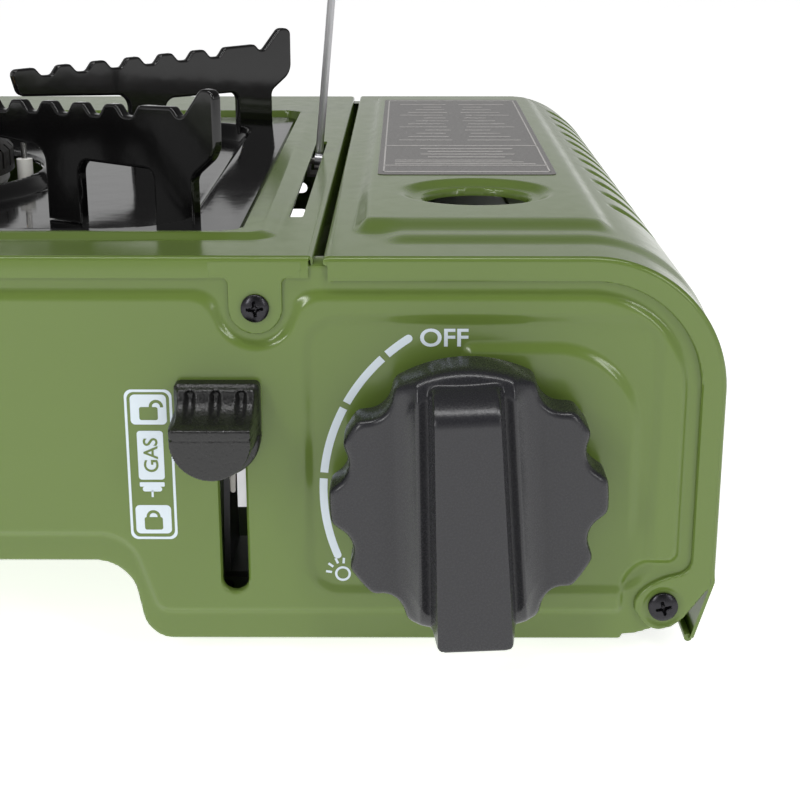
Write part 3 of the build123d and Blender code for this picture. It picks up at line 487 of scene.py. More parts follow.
def deck_relief(x, y, d):
    field = box_distance(x, y, -165.0, 76.5, FRONT + 15.4, REAR - 13.5, 7.0)
    height = rise(field, 4.4)
    height -= 3.6 * rise(pan_box(x, y, -1.5, 6.0), 0.7)
    return height - edge_fall(deck_outline(x, y), ROLL)


def top_deck():
    def inside(x, y):
        distance = np.maximum(deck_outline(x, y), -pan_box(x, y, 9, 14.0))
        notch = box_distance(x, y, DECK_RIGHT - 0.9, DECK_RIGHT + 3, DECK_FRONT - 3, DECK_FRONT + 1.1, 0.3)
        distance = np.maximum(distance, -notch)
        return np.maximum(distance, -box_distance(x, y, *STAY_SLOT, 0.2))

    def skirt(x, y, height):
        outer = deck_outline(x, y) > -0.25
        right = (x > DECK_RIGHT - 2.0) & (y > DECK_FRONT + 2.5) & (y < DECK_REAR - 2.5)
        return np.where(outer, np.where(right, SIDE_SKIRT_BACK, SKIRT_BACK), height - SHEET)

    xs = steps((LEFT - 0.4, 0.9), (50, 0.5), (DECK_RIGHT + 0.4, 0.5))
    ys = steps((DECK_FRONT - 0.3, 0.45), (-90, 0.9), (100, 0.9), (DECK_REAR + 0.4, 0.5))
    sheet = formed_sheet(xs, ys, inside, deck_relief, level, skirt)
    parts = [sheet]
    for y, side in ((DECK_FRONT, -1), (DECK_REAR, 1)):
        parts += deck_tabs(y, side)
    make_object("deck_sheet", *join(*parts), OLIVE, "housing", sharp=42, stands_for=["top_deck"])


def deck_tabs(y, side):
    """Screw tabs that hang from the deck's skirt."""
    tabs = []
    for sx, sz in TAB_SCREWS:
        centre = -side * sx

        def inside(u, z, centre=centre, sz=sz):
            tab = capsule_distance(u, z, centre, sz, centre, sz + 20, TAB_RADIUS)
            whole = blend_min(tab, SKIRT_END - z, 1.6)
            limit = box_distance(u, z, centre - 9.5, centre + 9.5, 60, 88.9, 0.0)
            hole = circle_distance(u, z, centre, sz, TAB_HOLE)
            return np.maximum(np.maximum(whole, limit), -hole)

        tabs.append(formed_sheet(
            steps((centre - 10, 0.35), (centre + 10, 0.35)), steps((72.5, 0.35), (89.4, 0.35)),
            inside, lambda u, z, d: PROUD - edge_fall(np.where(z > 87, -1, d), 0.35), upright(y, side)))
    return tabs


# ---------------------------------------------------------------- canister cover

SHOULDER = 29.0
COVER_LEFT = 87.0
COVER_FRONT = FRONT - 1.1
COVER_REAR = REAR + 1.1
# Lengths along the cover's section, from its left edge: over the top, round the shoulder, down the side
# and along the strip that leans in below it.
FLAT_END = RIGHT - SHOULDER - COVER_LEFT
ARC_END = FLAT_END + SHOULDER * math.pi / 2
SIDE_END = ARC_END + (TOP - SHOULDER - 18.4)
COVER_END = SIDE_END + 14.3
TUCK_IN, TUCK_DOWN = 0.287, 0.958
HOLE, HOLE_RADIUS = (121.0, -62.7), 12.7
FIELD_HEIGHT = 2.0             # the cover's upper field above its edge
GROOVE_COUNT, GROOVE_PITCH, GROOVE_ENDS, GROOVE_DEPTH = 11, 18.1, (70.0, 98.0), 2.2


def cover_place(s, y, height):
    """s runs over the top from the left edge, round the shoulder and down the side."""
    turn = np.clip((s - FLAT_END) / SHOULDER, 0, math.pi / 2)
    x = COVER_LEFT + np.minimum(s, FLAT_END) + SHOULDER * np.sin(turn)
    z = TOP - SHOULDER * (1 - np.cos(turn)) - np.clip(s - ARC_END, 0, SIDE_END - ARC_END)
    tuck = np.clip(s - SIDE_END, 0, None)
    x = x - tuck * TUCK_IN
    z = z - tuck * TUCK_DOWN
    return np.stack([x + height * np.sin(turn), y, z + height * np.cos(turn)], 1)


def cover_relief(s, y, d):
    """Two stepped fields, the sunk ring round the sight hole and the grooves pressed into the shoulder."""
    first = ease((s - 11.0) / 6.0) * ease((ARC_END - 2.0 - s) / 10.0)
    first = 0.8 * first * ease((y + 116.1) / 7.8) * ease((REAR - 13.0 - y) / 7.8)
    second = ease((s - 5.2) / 3.6) * ease((63.4 - s) / 4.6)
    second = second * ease((y + 105.8) / 10.5) * ease((REAR - 13.5 - y) / 5.0)
    height = first + (FIELD_HEIGHT - first) * second
    radius = np.hypot(s + COVER_LEFT - HOLE[0], y - HOLE[1])
    height -= 1.5 * ease((18.8 - radius) / 4.0)
    height -= edge_fall(HOLE_RADIUS - radius, 1.0) * (radius < 14.5)
    for index in range(GROOVE_COUNT):
        row = HOLE[1] + GROOVE_PITCH * index
        line = capsule_distance(s, y, GROOVE_ENDS[0], row, GROOVE_ENDS[1], row, 4.4)
        height -= GROOVE_DEPTH * ease(-line / 4.0)
    outer = box_distance(s, y, 0.0, 400.0, COVER_FRONT, COVER_REAR, 0.0)
    return height - edge_fall(outer, ROLL) * ease((SIDE_END - s) / 3.0)


def canister_cover():
    def inside(s, y):
        distance = box_distance(s, y, 0.0, COVER_END, COVER_FRONT, COVER_REAR, 0.3)
        return np.maximum(distance, -circle_distance(s + COVER_LEFT, y, *HOLE, HOLE_RADIUS))

    def skirt(s, y, height):
        ring = np.hypot(s + COVER_LEFT - HOLE[0], y - HOLE[1]) < 16
        left = (s < 0.5) & (y > FRONT + 8.2) & (y < REAR - 8.2)
        return np.where(ring, height - 0.9, np.where(left, -6.0, height - SHEET))

    ss = steps((-0.3, 0.45), (3, 0.9), (18, 0.55), (60, 0.55), (105, 0.9), (COVER_END + 0.4, 0.9))
    ys = steps((COVER_FRONT - 0.3, 0.4), (-124, 0.6), (-40, 0.65), (140, 0.8), (COVER_REAR + 0.4, 0.45))
    top = formed_sheet(ss, ys, inside, cover_relief, cover_place, skirt)
    hem = 0.9
    x, _, z = cover_place(np.array([COVER_END]), np.array([0.0]), np.array([-hem]))[0]
    roll = tube_along([(x, COVER_FRONT + 1, z), (x, COVER_REAR - 1, z)], hem)
    flanges = [cover_flange(COVER_FRONT, -1), cover_flange(COVER_REAR, 1)]
    whole = join(top, roll, *flanges)
    make_object("cover_sheet", *whole, OLIVE, "cover", sharp=42, stands_for=["canister_cover"])


FLANGE_OUTER = fillet([
    (COVER_LEFT, -10.0, 0), (RIGHT, -10.0, 0), (RIGHT, TOP, SHOULDER), (COVER_LEFT, TOP, 0.3),
])
FLANGE_INNER = fillet([
    (80.0, -12.0, 0), (164.0, -12.0, 0), (164.0, 11.5, 1.0), (153.9, 11.5, 0.5), (153.9, 14.6, 6.0),
    (160.4, 19.2, 5.0), (165.7, 20.6, 4.5), (165.6, 84.9, 23.5), (80.0, 84.9, 0),
])
PIVOT = (160.0, 12.5)
EAR_RADIUS, PIVOT_HOLE = 5.6, 2.05
FLANGE_FOOT = fillet([
    (171.6, 19.4, 0.0), (164.4, 9.5, 1.5), (162.0, 7.6, 2.0), (158.0, 6.6, 2.0), (150.0, 6.6, 0),
    (150.0, 30.0, 0), (171.6, 30.0, 0),
])


def cover_flange(y, side):
    """Band down one end of the cover, ending in the ear that its hinge screw holds."""
    def inside(u, z):
        x = -side * u
        distance = outline_distance(x, z, FLANGE_OUTER) + ROLL
        inner = -outline_distance(x, z, FLANGE_INNER)
        band = np.maximum(distance, inner)
        ear = circle_distance(x, z, *PIVOT, EAR_RADIUS)
        whole = np.maximum(blend_min(band, ear, 1.5), np.where(z > 22, distance, distance - ROLL))
        below = np.where(z < 26, outline_distance(x, z, FLANGE_FOOT), -1)
        whole = np.maximum(whole, below)
        return np.maximum(whole, -circle_distance(x, z, *PIVOT, PIVOT_HOLE))

    def relief(u, z, d):
        x = -side * u
        dimple = 0.48 * ease((5.0 - np.hypot(x - PIVOT[0], z - PIVOT[1])) / 1.2)
        outer = outline_distance(x, z, FLANGE_OUTER) + ROLL
        return PROUD - edge_fall(np.where(outer > -0.6, -2, d), 0.4) - dimple

    us = -side * steps((86.8, 0.6), (136, 0.4), (171.2, 0.4))
    return formed_sheet(np.sort(us), steps((4.5, 0.4), (90.2, 0.4)), inside, relief, upright(y, side))


def cover_plate():
    """Plain rating plate with a thin border and blank rules, laid on the cover's raised field."""
    face = TOP + FIELD_HEIGHT
    film_lift, rule_lift = 0.10, 0.21

    def laid(lift):
        return lambda p, h: np.column_stack([p, np.full(len(p), face + lift + h)])

    sheet = fillet([(96.7, -39.3, 2.0), (142.6, -39.3, 2.0), (142.6, 119.0, 2.0), (96.7, 119.0, 2.0)])
    film = prism(sheet, 0.16, laid(film_lift))
    make_object("plate_film", *film, PLATE_FILM, "cover", stands_for=["cover_label"])
    rules = []

    def bar(x0, x1, y0, y1):
        corners = np.array([(x0, y0), (x1, y0), (x1, y1), (x0, y1)], float)
        rules.append(prism(corners, 0.04, laid(rule_lift)))

    left, right, front, rear, width = 98.0, 141.4, -35.6, 115.5, 0.4
    bar(left, right, front, front + 1.0)
    bar(left, right, rear, rear + 1.0)
    bar(left, left + width, front, rear)
    bar(right - width, right, front, rear)
    bar(left, right, -25.2, -24.4)
    bar(left, right, 10.0, 10.8)
    for row in range(13):
        y = 21.0 + row * 7.0
        indent = 2.6 * (row % 4)
        bar(102.0 + indent, 117.5 - 0.8 * (row % 3), y, y + 0.8)
        bar(122.0 + 0.7 * (row % 3), 137.5 - indent, y, y + 0.8)
    for row in range(3):
        bar(101.0, 138.5 - row * 3, -22.6 + row * 3.0, -21.9 + row * 3.0)
    for row in range(4):
        bar(110.0 - 2 * (row % 2), 131.0 + 3 * (row % 2), -11.0 + row * 5.0, -10.1 + row * 5.0)
    make_object("plate_rules", *join(*rules), PLATE_INK, "cover")


# ---------------------------------------------------------------- drip pan and pot supports

BURNER = (-45.0, 0.0)
RIM_TOP = 89.05
PAN_HOLE = 46.0


def drip_pan():
    def inside(x, y):
        return np.maximum(pan_box(x, y, 0, 5.0), PAN_HOLE - np.hypot(x - BURNER[0], y - BURNER[1]))

    def relief(x, y, d):
        outer = pan_box(x, y, 0, 5.0)
        dish = pan_box(x, y, 12, 20.0)
        radius = np.hypot(x - BURNER[0], y - BURNER[1])
        height = RIM_TOP - TOP - 0.25 * rise(outer, 8.0)
        height = height - 4.7 * rise(dish, 4.2)
        height = height - 0.8 * ease((110 - radius) / 60.0)
        height += 3.6 * ease((51.5 - radius) / 4.5)
        height -= edge_fall(PAN_HOLE - radius, 0.8) * (radius < PAN_HOLE + 2)
        return height - edge_fall(outer, 0.7)

    xs = steps((PAN[0] - 0.4, 1.0), (-20, 0.8), (PAN[1] + 0.4, 0.6))
    ys = steps((PAN[2] - 0.4, 0.6), (-70, 0.8), (70, 0.8), (PAN[3] + 0.4, 0.6))
    sheet = formed_sheet(xs, ys, inside, relief, level, 1.0)
    make_object("pan_sheet", *sheet, BLACK, "pan", stands_for=["drip_pan"])


ARM_INNER, ARM_OUTER, ARM_TOP, ARM_SLOPE = 44.2, 140.7, 111.2, 0.042
ARM_FOOT = 84.0
NOTCH_COUNT, NOTCH_START, NOTCH_PITCH, NOTCH_DEPTH = 6, 55.6, 11.4, 2.6


def arm_outline():
    """Pot support seen from the side: radius from the burner, height."""
    def edge(radius):
        return ARM_TOP + ARM_SLOPE * (radius - ARM_INNER)

    corners = [
        (82.3, ARM_FOOT, 0.0), (94.5, ARM_FOOT, 0.0), (94.5, 99.6, 3.5), (120.5, 99.8, 2.5),
        (120.5, ARM_FOOT, 0.0), (133.2, ARM_FOOT, 0.0), (133.2, 99.5, 3.0), (ARM_OUTER, 105.0, 6.0),
        (ARM_OUTER, 119.2, 3.2),
        (136.6, 119.4, 2.4), (130.7, 112.8, 1.9), (129.0, 112.8, 1.5), (127.2, edge(127.2), 1.4),
    ]
    for index in reversed(range(NOTCH_COUNT)):
        radius = NOTCH_START + NOTCH_PITCH * index
        base = edge(radius) - NOTCH_DEPTH
        corners += [
            (radius + 3.7, edge(radius + 3.7), 1.5), (radius + 1.6, base, 1.5),
            (radius - 1.6, base, 1.5), (radius - 3.7, edge(radius - 3.7), 1.5),
        ]
    corners += [(ARM_INNER, ARM_TOP, 1.8), (ARM_INNER + 2.1, 103.4, 2.5), (82.3, 101.4, 4.0)]
    return fillet(corners, 0.45)


def pot_supports():
    """Four toothed plates; each stands a little beside the burner's centre line."""
    outline = arm_outline()
    for name, angle, shift in (
        ("right_rear", 35.0, 8.3), ("left_rear", 145.0, -8.3),
        ("left_front", 218.0, 5.7), ("right_front", -38.0, -5.7),
    ):
        c, s = math.cos(math.radians(angle)), math.sin(math.radians(angle))

        def place(points, across, c=c, s=s, shift=shift):
            r, side = points[:, 0], shift - across
            return np.column_stack([BURNER[0] + r * c - side * s, BURNER[1] + r * s + side * c, points[:, 1]])

        plate = prism(outline, 2.6, place, bevel=0.5)
        make_object("toothed_arm_" + name, *plate, BLACK, "pan", sharp=33, stands_for=["pot_support_" + name])


# ---------------------------------------------------------------- knob and lever

KNOB_RADIUS, SCALLOP_ORBIT, SCALLOP_RADIUS = 28.7, 31.3, 5.5


def knob_outline_distance(u, v):
    distance = np.hypot(u, v) - KNOB_RADIUS
    for angle in (40, 72, 108, 144):
        for side in (-1, 1):
            heading = math.radians(90 + side * angle)
            cu, cv = SCALLOP_ORBIT * math.cos(heading), SCALLOP_ORBIT * math.sin(heading)
            notch = circle_distance(u, v, cu, cv, SCALLOP_RADIUS)
            distance = blend_max(distance, -notch, 1.6)
    return distance


GRIP_TOP, GRIP_BOTTOM, GRIP_HEIGHT, GRIP_HALF = 26.8, -29.3, 11.0, 7.5
FACE_SHIFT = -0.75             # the face sits this far to the left of its spindle
KNOB_STAND = 14.0              # from the panel to the base of the knob's relief


def control_knob():
    tilt = math.radians(2.6)

    def relief(u, v, d):
        across = np.abs(u)
        crest, flank_width = GRIP_HALF + 2.2, 5.4
        flank = np.clip((crest + flank_width - across) / flank_width, 0, 1) ** 1.9
        inner = 0.86 + 0.14 * ease((across - GRIP_HALF) / 2.4)
        ridge = 3.7 * np.where(across > crest, flank, inner)
        height = ridge * np.sqrt(np.clip(-d / 4.0, 0, 1)) - edge_fall(d, 1.5)
        side = across - GRIP_HALF
        ends = np.maximum(v - GRIP_TOP, GRIP_BOTTOM - v)
        turn = 2.6
        corner = np.hypot(np.maximum(side + turn, 0), np.maximum(ends + turn, 0)) - turn
        block = np.maximum(np.maximum(side, ends), corner)
        climb = np.clip((GRIP_TOP - v) / 7.6, 0, 1)
        crown = GRIP_HEIGHT * (1 - (1 - climb) ** 2.3)
        crown = np.maximum(crown - edge_fall(np.maximum(side, GRIP_BOTTOM - v), 1.9), 0)
        wall = ramp(-block / 1.2, 0.3)
        return np.where(block < 0, np.maximum(height, height + (crown - height) * wall), height)

    def place(u, v, height):
        widening = 1.4 * (GRIP_TOP - v) / (GRIP_TOP - GRIP_BOTTOM) * np.clip(np.abs(u) / 6, 0, 1)
        u = u + np.sign(u) * widening * ease((22 - np.abs(u)) / 10)
        x = KNOB[0] + FACE_SHIFT + u * math.cos(tilt) - v * math.sin(tilt)
        z = KNOB[1] + u * math.sin(tilt) + v * math.cos(tilt)
        return np.stack([x, FRONT - KNOB_STAND - height, z], 1)

    def inside(u, v):
        bar = box_distance(u, v, -8.0, 8.0, GRIP_BOTTOM, 0, 2.6)
        return np.minimum(knob_outline_distance(u, v), bar)

    lines = steps((-30.0, 0.3), (30.0, 0.3))
    face = formed_sheet(lines, lines, inside, relief, place, flat(-9.0))
    coarse = steps((-30.0, 1.0), (30.0, 1.0))
    back = formed_sheet(coarse, coarse, inside, flat(-8.9), place, 0)
    back = (back[0], [f[::-1] for f in back[1]])
    hub = tube_along([(KNOB[0], FRONT - 6, KNOB[1]), (KNOB[0], FRONT - 1.0, KNOB[1])], 7.5, 40)
    whole = join(face, back, hub)
    make_object("knob_shell", *whole, SHELL_PLASTIC, "knob", sharp=50, stands_for=["control_knob"])


LEVER_X, LEVER_TOP = 64.8, 64.0
SHELF_TOP, SHELF_FRONT = 57.7, 11.4
LEVER_STAND = 4.4              # from the panel to the base of the cap's relief


def lever_knob():
    x0 = LEVER_X

    def d_distance(u, v, half, low, high):
        """Flat top, round lower end."""
        straight = box_distance(u, v, x0 - half, x0 + half, low + half, high, 1.2)
        bottom = circle_distance(u, v, x0, low + half, half)
        return np.minimum(straight, np.maximum(bottom, v - low - half - 0.5))

    def inside(u, v):
        shelf = d_distance(u + 0.35, v, 8.7, 46.6, SHELF_TOP)
        return np.minimum(d_distance(u, v, 8.9, 43.4, LEVER_TOP), shelf)

    def relief(u, v, d):
        body = d_distance(u, v, 8.6, 46.0, 63.6)
        start = 63.7
        climb = np.clip((start - v) / (start - SHELF_TOP), 0, 1)
        scoop = 1.2 + (SHELF_FRONT - 1.8) * (1 - np.sqrt(np.maximum(1 - climb ** 2.4, 0)))
        for step in (-1, 0, 1):
            middle = x0 + step * 5.3
            groove = capsule_distance(u, v, middle, SHELF_TOP + 1.0, middle, 61.9, 1.4)
            scoop = scoop - 1.7 * ease(-groove / 1.2)
        scoop = np.maximum(scoop, 0.1) * ramp(-body / 0.9, 0.5)
        sides = d_distance(u + 0.35, v, 8.7, 46.6, 80.0)
        solid = SHELF_FRONT - edge_fall(np.maximum(sides, v - SHELF_TOP), 0.6)
        wall = ease(-sides / 0.4)
        shelf = (sides < 0) & (v < SHELF_TOP)
        return np.where(shelf, solid * wall + scoop * (1 - wall), scoop) - edge_fall(d, 1.0)

    def place(u, v, height):
        return np.stack([u, FRONT - LEVER_STAND - height, v], 1)

    us = steps((55.2, 0.22), (74.2, 0.22))
    vs = steps((42.9, 0.22), (64.5, 0.22))
    face = formed_sheet(us, vs, inside, relief, place, flat(-3.7))
    make_object("lever_cap", *face, LEVER_PLASTIC, "lever", sharp=55, stands_for=["fuel_lever_knob"])


# ---------------------------------------------------------------- printing on the panel

def printed(name, shapes, offset=0.05, material=INK):
    """Flat ink: each shape is (vertices as x, z; faces). It follows the pressed relief at an offset."""
    vertices, faces, base = [], [], 0
    for points, polygons in shapes:
        points = np.asarray(points, float)
        lift = panel_relief(points[:, 0], points[:, 1])
        vertices.append(np.column_stack([points[:, 0], FRONT - lift - offset, points[:, 1]]))
        faces += [[p + base for p in polygon] for polygon in polygons]
        base += len(points)
    make_object(name, np.vstack(vertices), faces, material, "housing")


def strip(inner, outer, closed=False):
    """Quads between two matching rows of points."""
    count = len(inner)
    points = np.vstack([inner, outer])
    last = count if closed else count - 1
    faces = [[i, (i + 1) % count, count + (i + 1) % count, count + i] for i in range(last)]
    return points, faces


def arc_sector(centre, inner, outer, start, end, cap_start=False, cap_end=False):
    """Arc band; angles in degrees anticlockwise from the top."""
    def at(radius, angle):
        a = math.radians(90 + angle)
        return centre[0] + radius * math.cos(a), centre[1] + radius * math.sin(a)

    angles = np.linspace(start, end, max(3, int(abs(end - start) * 1.2)))
    shapes = [strip([at(inner, a) for a in angles], [at(outer, a) for a in angles])]
    middle, half = (inner + outer) / 2, (outer - inner) / 2
    for angle, wanted, sign in ((start, cap_start, -1), (end, cap_end, 1)):
        if wanted:
            cx, cy = at(middle, angle)
            turns = math.radians(90 + angle) + sign * np.linspace(0, math.pi, 9)
            fan = [(cx + half * math.cos(t), cy + half * math.sin(t)) for t in turns]
            shapes.append((np.array(fan), [list(range(len(fan)))]))
    return shapes


def frame_line(x0, x1, z0, z1, radius, width):
    """Rounded border line of one width."""
    outer = fillet([(x0, z0, radius), (x1, z0, radius), (x1, z1, radius), (x0, z1, radius)], 0.2)
    middle = outer.mean(0)
    scale_u = (x1 - x0 - 2 * width) / (x1 - x0)
    scale_v = (z1 - z0 - 2 * width) / (z1 - z0)
    inner = middle + (outer - middle) * (scale_u, scale_v)
    return strip(inner, outer, closed=True)


def filled(x0, x1, z0, z1, radius, holes=()):
    """Solid rounded box, as a grid so that marks can be left out of it."""
    def inside(u, v):
        distance = box_distance(u, v, x0, x1, z0, z1, radius)
        for hole in holes:
            distance = np.maximum(distance, -hole(u, v))
        return distance

    vertices, faces = formed_sheet(
        steps((x0 - 0.1, 0.1), (x1 + 0.1, 0.1)), steps((z0 - 0.1, 0.1), (z1 + 0.1, 0.1)), inside,
        flat(0.0), lambda u, v, h: np.stack([u, v, h], 1), 0)
    return vertices[:, :2], faces


def letters(text, x, z, height, width, turn=0.0, weight=0.0):
    """Generic sans lettering as a flat shape of that size, centred at x, z."""
    curve = bpy.data.curves.new("letters", "FONT")
    curve.body = text
    curve.size = 1.0
    curve.offset = weight
    curve.resolution_u = 6
    holder = bpy.data.objects.new("letters", curve)
    bpy.context.scene.collection.objects.link(holder)
    bpy.context.view_layer.update()
    mesh = holder.evaluated_get(bpy.context.evaluated_depsgraph_get()).to_mesh()
    points = np.array([v.co[:2] for v in mesh.vertices])
    faces = [list(p.vertices) for p in mesh.polygons]
    holder.to_mesh_clear()
    bpy.data.objects.remove(holder)
    bpy.data.curves.remove(curve)
    low, high = points.min(0), points.max(0)
    points = (points - (low + high) / 2) * (np.array((width, height)) / (high - low))
    c, s = math.cos(math.radians(turn)), math.sin(math.radians(turn))
    points = points @ np.array([[c, s], [-s, c]])
    return points + (x, z), faces


def padlock(x, z, size, opened):
    """Holes in the ink that show a padlock."""
    shift = 0.42 * size if opened else 0.0

    def mark(u, v):
        low, high = z - 0.62 * size, z + 0.12 * size
        body = box_distance(u, v, x - 0.5 * size, x + 0.5 * size, low, high, 0.12 * size)
        shackle = np.abs(circle_distance(u, v, x + shift, z + 0.14 * size, 0.30 * size)) - 0.085 * size
        shackle = np.maximum(shackle, z + 0.1 * size - v)
        return np.minimum(body, shackle)

    return mark


def dial_print():
    """Arc in four lengths beside the knob, the word for off and a spark sign."""
    centre = (126.7, 39.2)
    inner, outer = 39.38, 41.07
    gap = 0.95
    edges = [33.5, 42.4, 61.8, 85.1, 111.6]
    shapes = []
    for index, (start, end) in enumerate(zip(edges, edges[1:])):
        first, last = index == 0, index == len(edges) - 2
        shapes += arc_sector(
            centre, inner, outer, start + (0 if first else gap), end - (0 if last else gap), first, last)
    shapes.append(letters("OFF", 111.9, 72.95, 3.9, 10.0, weight=0.018))
    spark = (90.4, 20.0)
    shapes += arc_sector(spark, 1.2, 1.72, 0, 360)
    for du, dv in ((-2.9, 0.45), (-2.5, 1.95), (-1.25, 2.9), (0.2, 2.95)):
        length = math.hypot(du, dv)
        along = np.array((du, dv)) / length
        across = np.array((-along[1], along[0])) * 0.26
        a = np.array(spark) + along * (length - 0.55)
        b = np.array(spark) + along * (length + 0.75)
        shapes.append((np.array([a - across, b - across, b + across, a + across]), [[0, 1, 2, 3]]))
    printed("dial_marks", shapes)


def lever_print():
    """Framed label: an open and a closed padlock, and a cartridge with the word for gas."""
    shapes = [
        frame_line(45.1, 55.1, 28.3, 61.9, 1.6, 0.55),
        filled(46.3, 53.9, 54.2, 60.8, 1.0, [padlock(50.1, 57.6, 3.9, True)]),
        filled(46.3, 53.9, 29.6, 36.1, 1.0, [padlock(50.1, 32.9, 3.9, False)]),
        filled(47.4, 52.9, 41.9, 52.8, 0.7),
        filled(47.5, 52.8, 40.3, 41.3, 0.2),
        filled(48.1, 52.2, 39.2, 40.3, 0.5),
        filled(49.9, 50.35, 37.9, 39.4, 0.1),
    ]
    printed("lever_marks", shapes)
    word = letters("GAS", 50.15, 47.4, 3.1, 7.6, turn=90, weight=0.012)
    printed("lever_word", [word], 0.09, OLIVE)


# ---------------------------------------------------------------- small visible details

def cross_screws(name, centres, face, radius, body, node):
    """Domed screw heads with a cross recess, front and rear alike."""
    heads = []
    for side in (-1, 1):
        for x, z in centres:
            across, turn = -side * x, 0.2 + 0.02 * x

            def relief(u, v, d, across=across, z=z, turn=turn):
                a = (u - across) * math.cos(turn) + (v - z) * math.sin(turn)
                b = (v - z) * math.cos(turn) - (u - across) * math.sin(turn)
                reach = np.hypot(a, b)
                dome = 1.7 * np.sqrt(np.maximum(1 - 0.8 * (reach / radius) ** 2, 0))
                arm = (-1.8, 1.8, -0.4, 0.4, 0.1)
                cross = np.minimum(box_distance(a, b, *arm), box_distance(b, a, *arm))
                socket = blend_min(cross, reach - 0.7, 0.4)
                return dome - 1.2 * ramp(-socket / 0.35, 0.3) * (1.1 - 0.3 * reach)

            heads.append(formed_sheet(
                steps((across - radius - 0.1, 0.12), (across + radius + 0.1, 0.12)),
                steps((z - radius - 0.1, 0.12), (z + radius + 0.1, 0.12)),
                lambda u, v, across=across, z=z: circle_distance(u, v, across, z, radius),
                relief, upright(side * face, side), flat(-1.2)))
    make_object(name, *join(*heads), DARK_STEEL, body, sharp=55, stands_for=[node])


def slot_interior():
    """Leads and metalwork seen through the lever's slot."""
    leads = []
    for x, lean in ((67.6, 0.9), (66.9, 0.5)):
        route = [(x, FRONT + 7.0, 60), (x + 0.2, FRONT + 7.2, 44), (x + lean, FRONT + 8.4, 37)]
        leads.append(tube_along(route, 0.35, 10))
    make_object("igniter_leads", *join(*leads), COPPER, "housing")
    tongue = fillet([(65.9, 36.6, 0.5), (67.2, 36.6, 0.5), (67.5, 45.5, 0.2), (65.6, 45.5, 0.2)])

    def place(p, height):
        return np.column_stack([p[:, 0], np.full(len(p), FRONT + 5.2 + height), p[:, 1]])

    # The tongue takes the darker zinc, with the shade inside the slot painted into its colour.
    make_object("slider_tongue", *prism(tongue, SHEET, place, 0.15), DULL_ZINC_PAINTED_SHADE, "lever")


def finish_cad_nodes():
    """A finish for each CAD node. One left out here is olive, and a piece above replaces it."""
    finishes = {
        "base_tray": OLIVE, "short_rubber_feet": RUBBER, "tall_rubber_feet": RUBBER,
        "deck_screws": DARK_STEEL, "cover_pivot_screws": DARK_STEEL, "partition": ZINC,
        "burner_support": ZINC, "burner_bowl": CAST,
        "mixing_tube": ZINC, "burner_head": BURNER_IRON, "burner_cap": BRASS, "burner_screw": NICKEL,
        "gas_jet": BRASS, "gas_pipe": COPPER, "jet_bracket": ZINC, "regulator_body": CAST,
        "diaphragm_cap": ZINC, "canister_guide_plate": ZINC, "regulator_screws": NICKEL,
        "canister_seal": RUBBER,
        "canister_cradle": ZINC, "heat_plate": CAST, "igniter_cam": SHELL_PLASTIC, "valve_spindle": BRASS,
        "piezo_igniter": SHELL_PLASTIC, "piezo_plunger": SHELL_PLASTIC, "electrode_ceramic": CERAMIC,
        "electrode_tip": NICKEL, "electrode_bracket": ZINC, "ignition_wire": LEAD, "lever_slider": ZINC,
        "lever_guide_rails": ZINC, "bell_crank": ZINC, "crank_pin": NICKEL, "crank_bracket": ZINC,
        "push_rod": ZINC, "pusher_plate": ZINC, "pusher_guides": ZINC, "wire_stay": STEEL_WIRE,
        # The stay's pin and bracket take the darker zinc, with the shade inside the deck's slot painted into
        # its colour.
        "stay_pin": DULL_ZINC_PAINTED_SHADE, "stay_bracket": DULL_ZINC_PAINTED_SHADE,
    }
    for name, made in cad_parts.items():
        made.data.materials.clear()
        made.data.materials.append(finishes.get(name, OLIVE))


# ---------------------------------------------------------------- stage

def area_light(name, place, aim, size, power):
    data = bpy.data.lights.new(name, "AREA")
    data.shape = "RECTANGLE"
    data.size, data.size_y = size
    data.energy = power
    made = bpy.data.objects.new(name, data)
    made.location = place
    made.rotation_euler = (Vector(aim) - Vector(place)).to_track_quat("-Z", "Y").to_euler()
    bpy.context.scene.collection.objects.link(made)


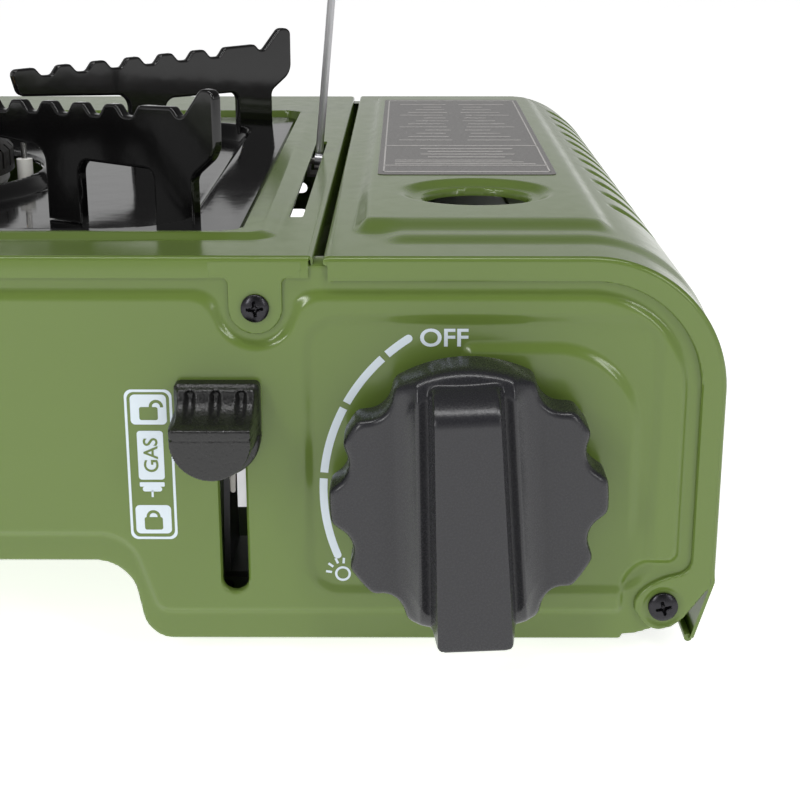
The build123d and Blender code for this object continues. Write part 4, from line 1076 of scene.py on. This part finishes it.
def studio_world():
    """White sweep round the horizon, dimmer overhead."""
    world = bpy.data.worlds.new("studio")
    bpy.context.scene.world = world
    world.use_nodes = True
    tree = world.node_tree
    coords = tree.nodes.new("ShaderNodeTexCoord")
    split = tree.nodes.new("ShaderNodeSeparateXYZ")
    fall = tree.nodes.new("ShaderNodeMapRange")
    fall.interpolation_type = "SMOOTHSTEP"
    fall.inputs["From Min"].default_value = 0.18
    fall.inputs["From Max"].default_value = 0.55
    fall.inputs["To Min"].default_value = 0.58
    fall.inputs["To Max"].default_value = 0.12
    back = tree.nodes["Background"]
    tree.links.new(coords.outputs["Generated"], split.inputs["Vector"])
    tree.links.new(split.outputs["Z"], fall.inputs["Value"])
    tree.links.new(fall.outputs["Result"], back.inputs["Strength"])
    back.inputs["Color"].default_value = (1.0, 1.0, 1.0, 1)


def stage():
    """Pale floor, soft lights and the camera. The floor gives off light, so it merges with the horizon."""
    size = 30.0
    mesh = bpy.data.meshes.new("floor")
    corners = [(-size, -size, 0), (size, -size, 0), (size, size, 0), (-size, size, 0)]
    mesh.from_pydata(corners, [], [[0, 1, 2, 3]])
    floor = bpy.data.objects.new("floor", mesh)
    bpy.context.scene.collection.objects.link(floor)
    material, _, shader = new_material("pale_floor")
    shader.inputs["Base Color"].default_value = (0.86, 0.86, 0.86, 1)
    shader.inputs["Roughness"].default_value = 0.6
    shader.inputs["Emission Color"].default_value = (1, 1, 1, 1)
    shader.inputs["Emission Strength"].default_value = 0.80
    mesh.materials.append(material)
    studio_world()
    area_light("overhead_strip", (0.0, -0.30, 1.0), (0.05, -0.08, 0.05), (1.2, 0.12), 5.0)
    area_light("front_left", (-0.75, -1.15, 0.75), (0.05, -0.1, 0.05), (0.16, 0.7), 5.0)
    area_light("front_right", (1.0, -1.0, 0.7), (0.05, -0.1, 0.05), (0.14, 0.7), 3.0)
    scene = bpy.context.scene
    scene.view_settings.view_transform = "Standard"
    scene.view_settings.look = "None"
    camera_data = bpy.data.cameras.new("camera")
    camera = bpy.data.objects.new("camera", camera_data)
    scene.collection.objects.link(camera)
    camera.location = (0.1039, -0.4432, 0.15915)
    camera.rotation_euler = (math.radians(90 - 17.53), 0, math.radians(0.207))
    camera_data.sensor_width = 36
    camera_data.lens = 71.235
    camera_data.clip_start = 0.01
    camera_data.clip_end = 30
    scene.camera = camera


front_panel()
rear_panel()
top_deck()
canister_cover()
cover_plate()
drip_pan()
pot_supports()
control_knob()
lever_knob()
dial_print()
lever_print()
cross_screws("deck_screw_heads", TAB_SCREWS, -DECK_FRONT, 2.9, "housing", "deck_screws")
cross_screws("pivot_screw_heads", [PIVOT], -COVER_FRONT - 0.4, 3.2, "housing", "cover_pivot_screws")
slot_interior()
finish_cad_nodes()
stage()
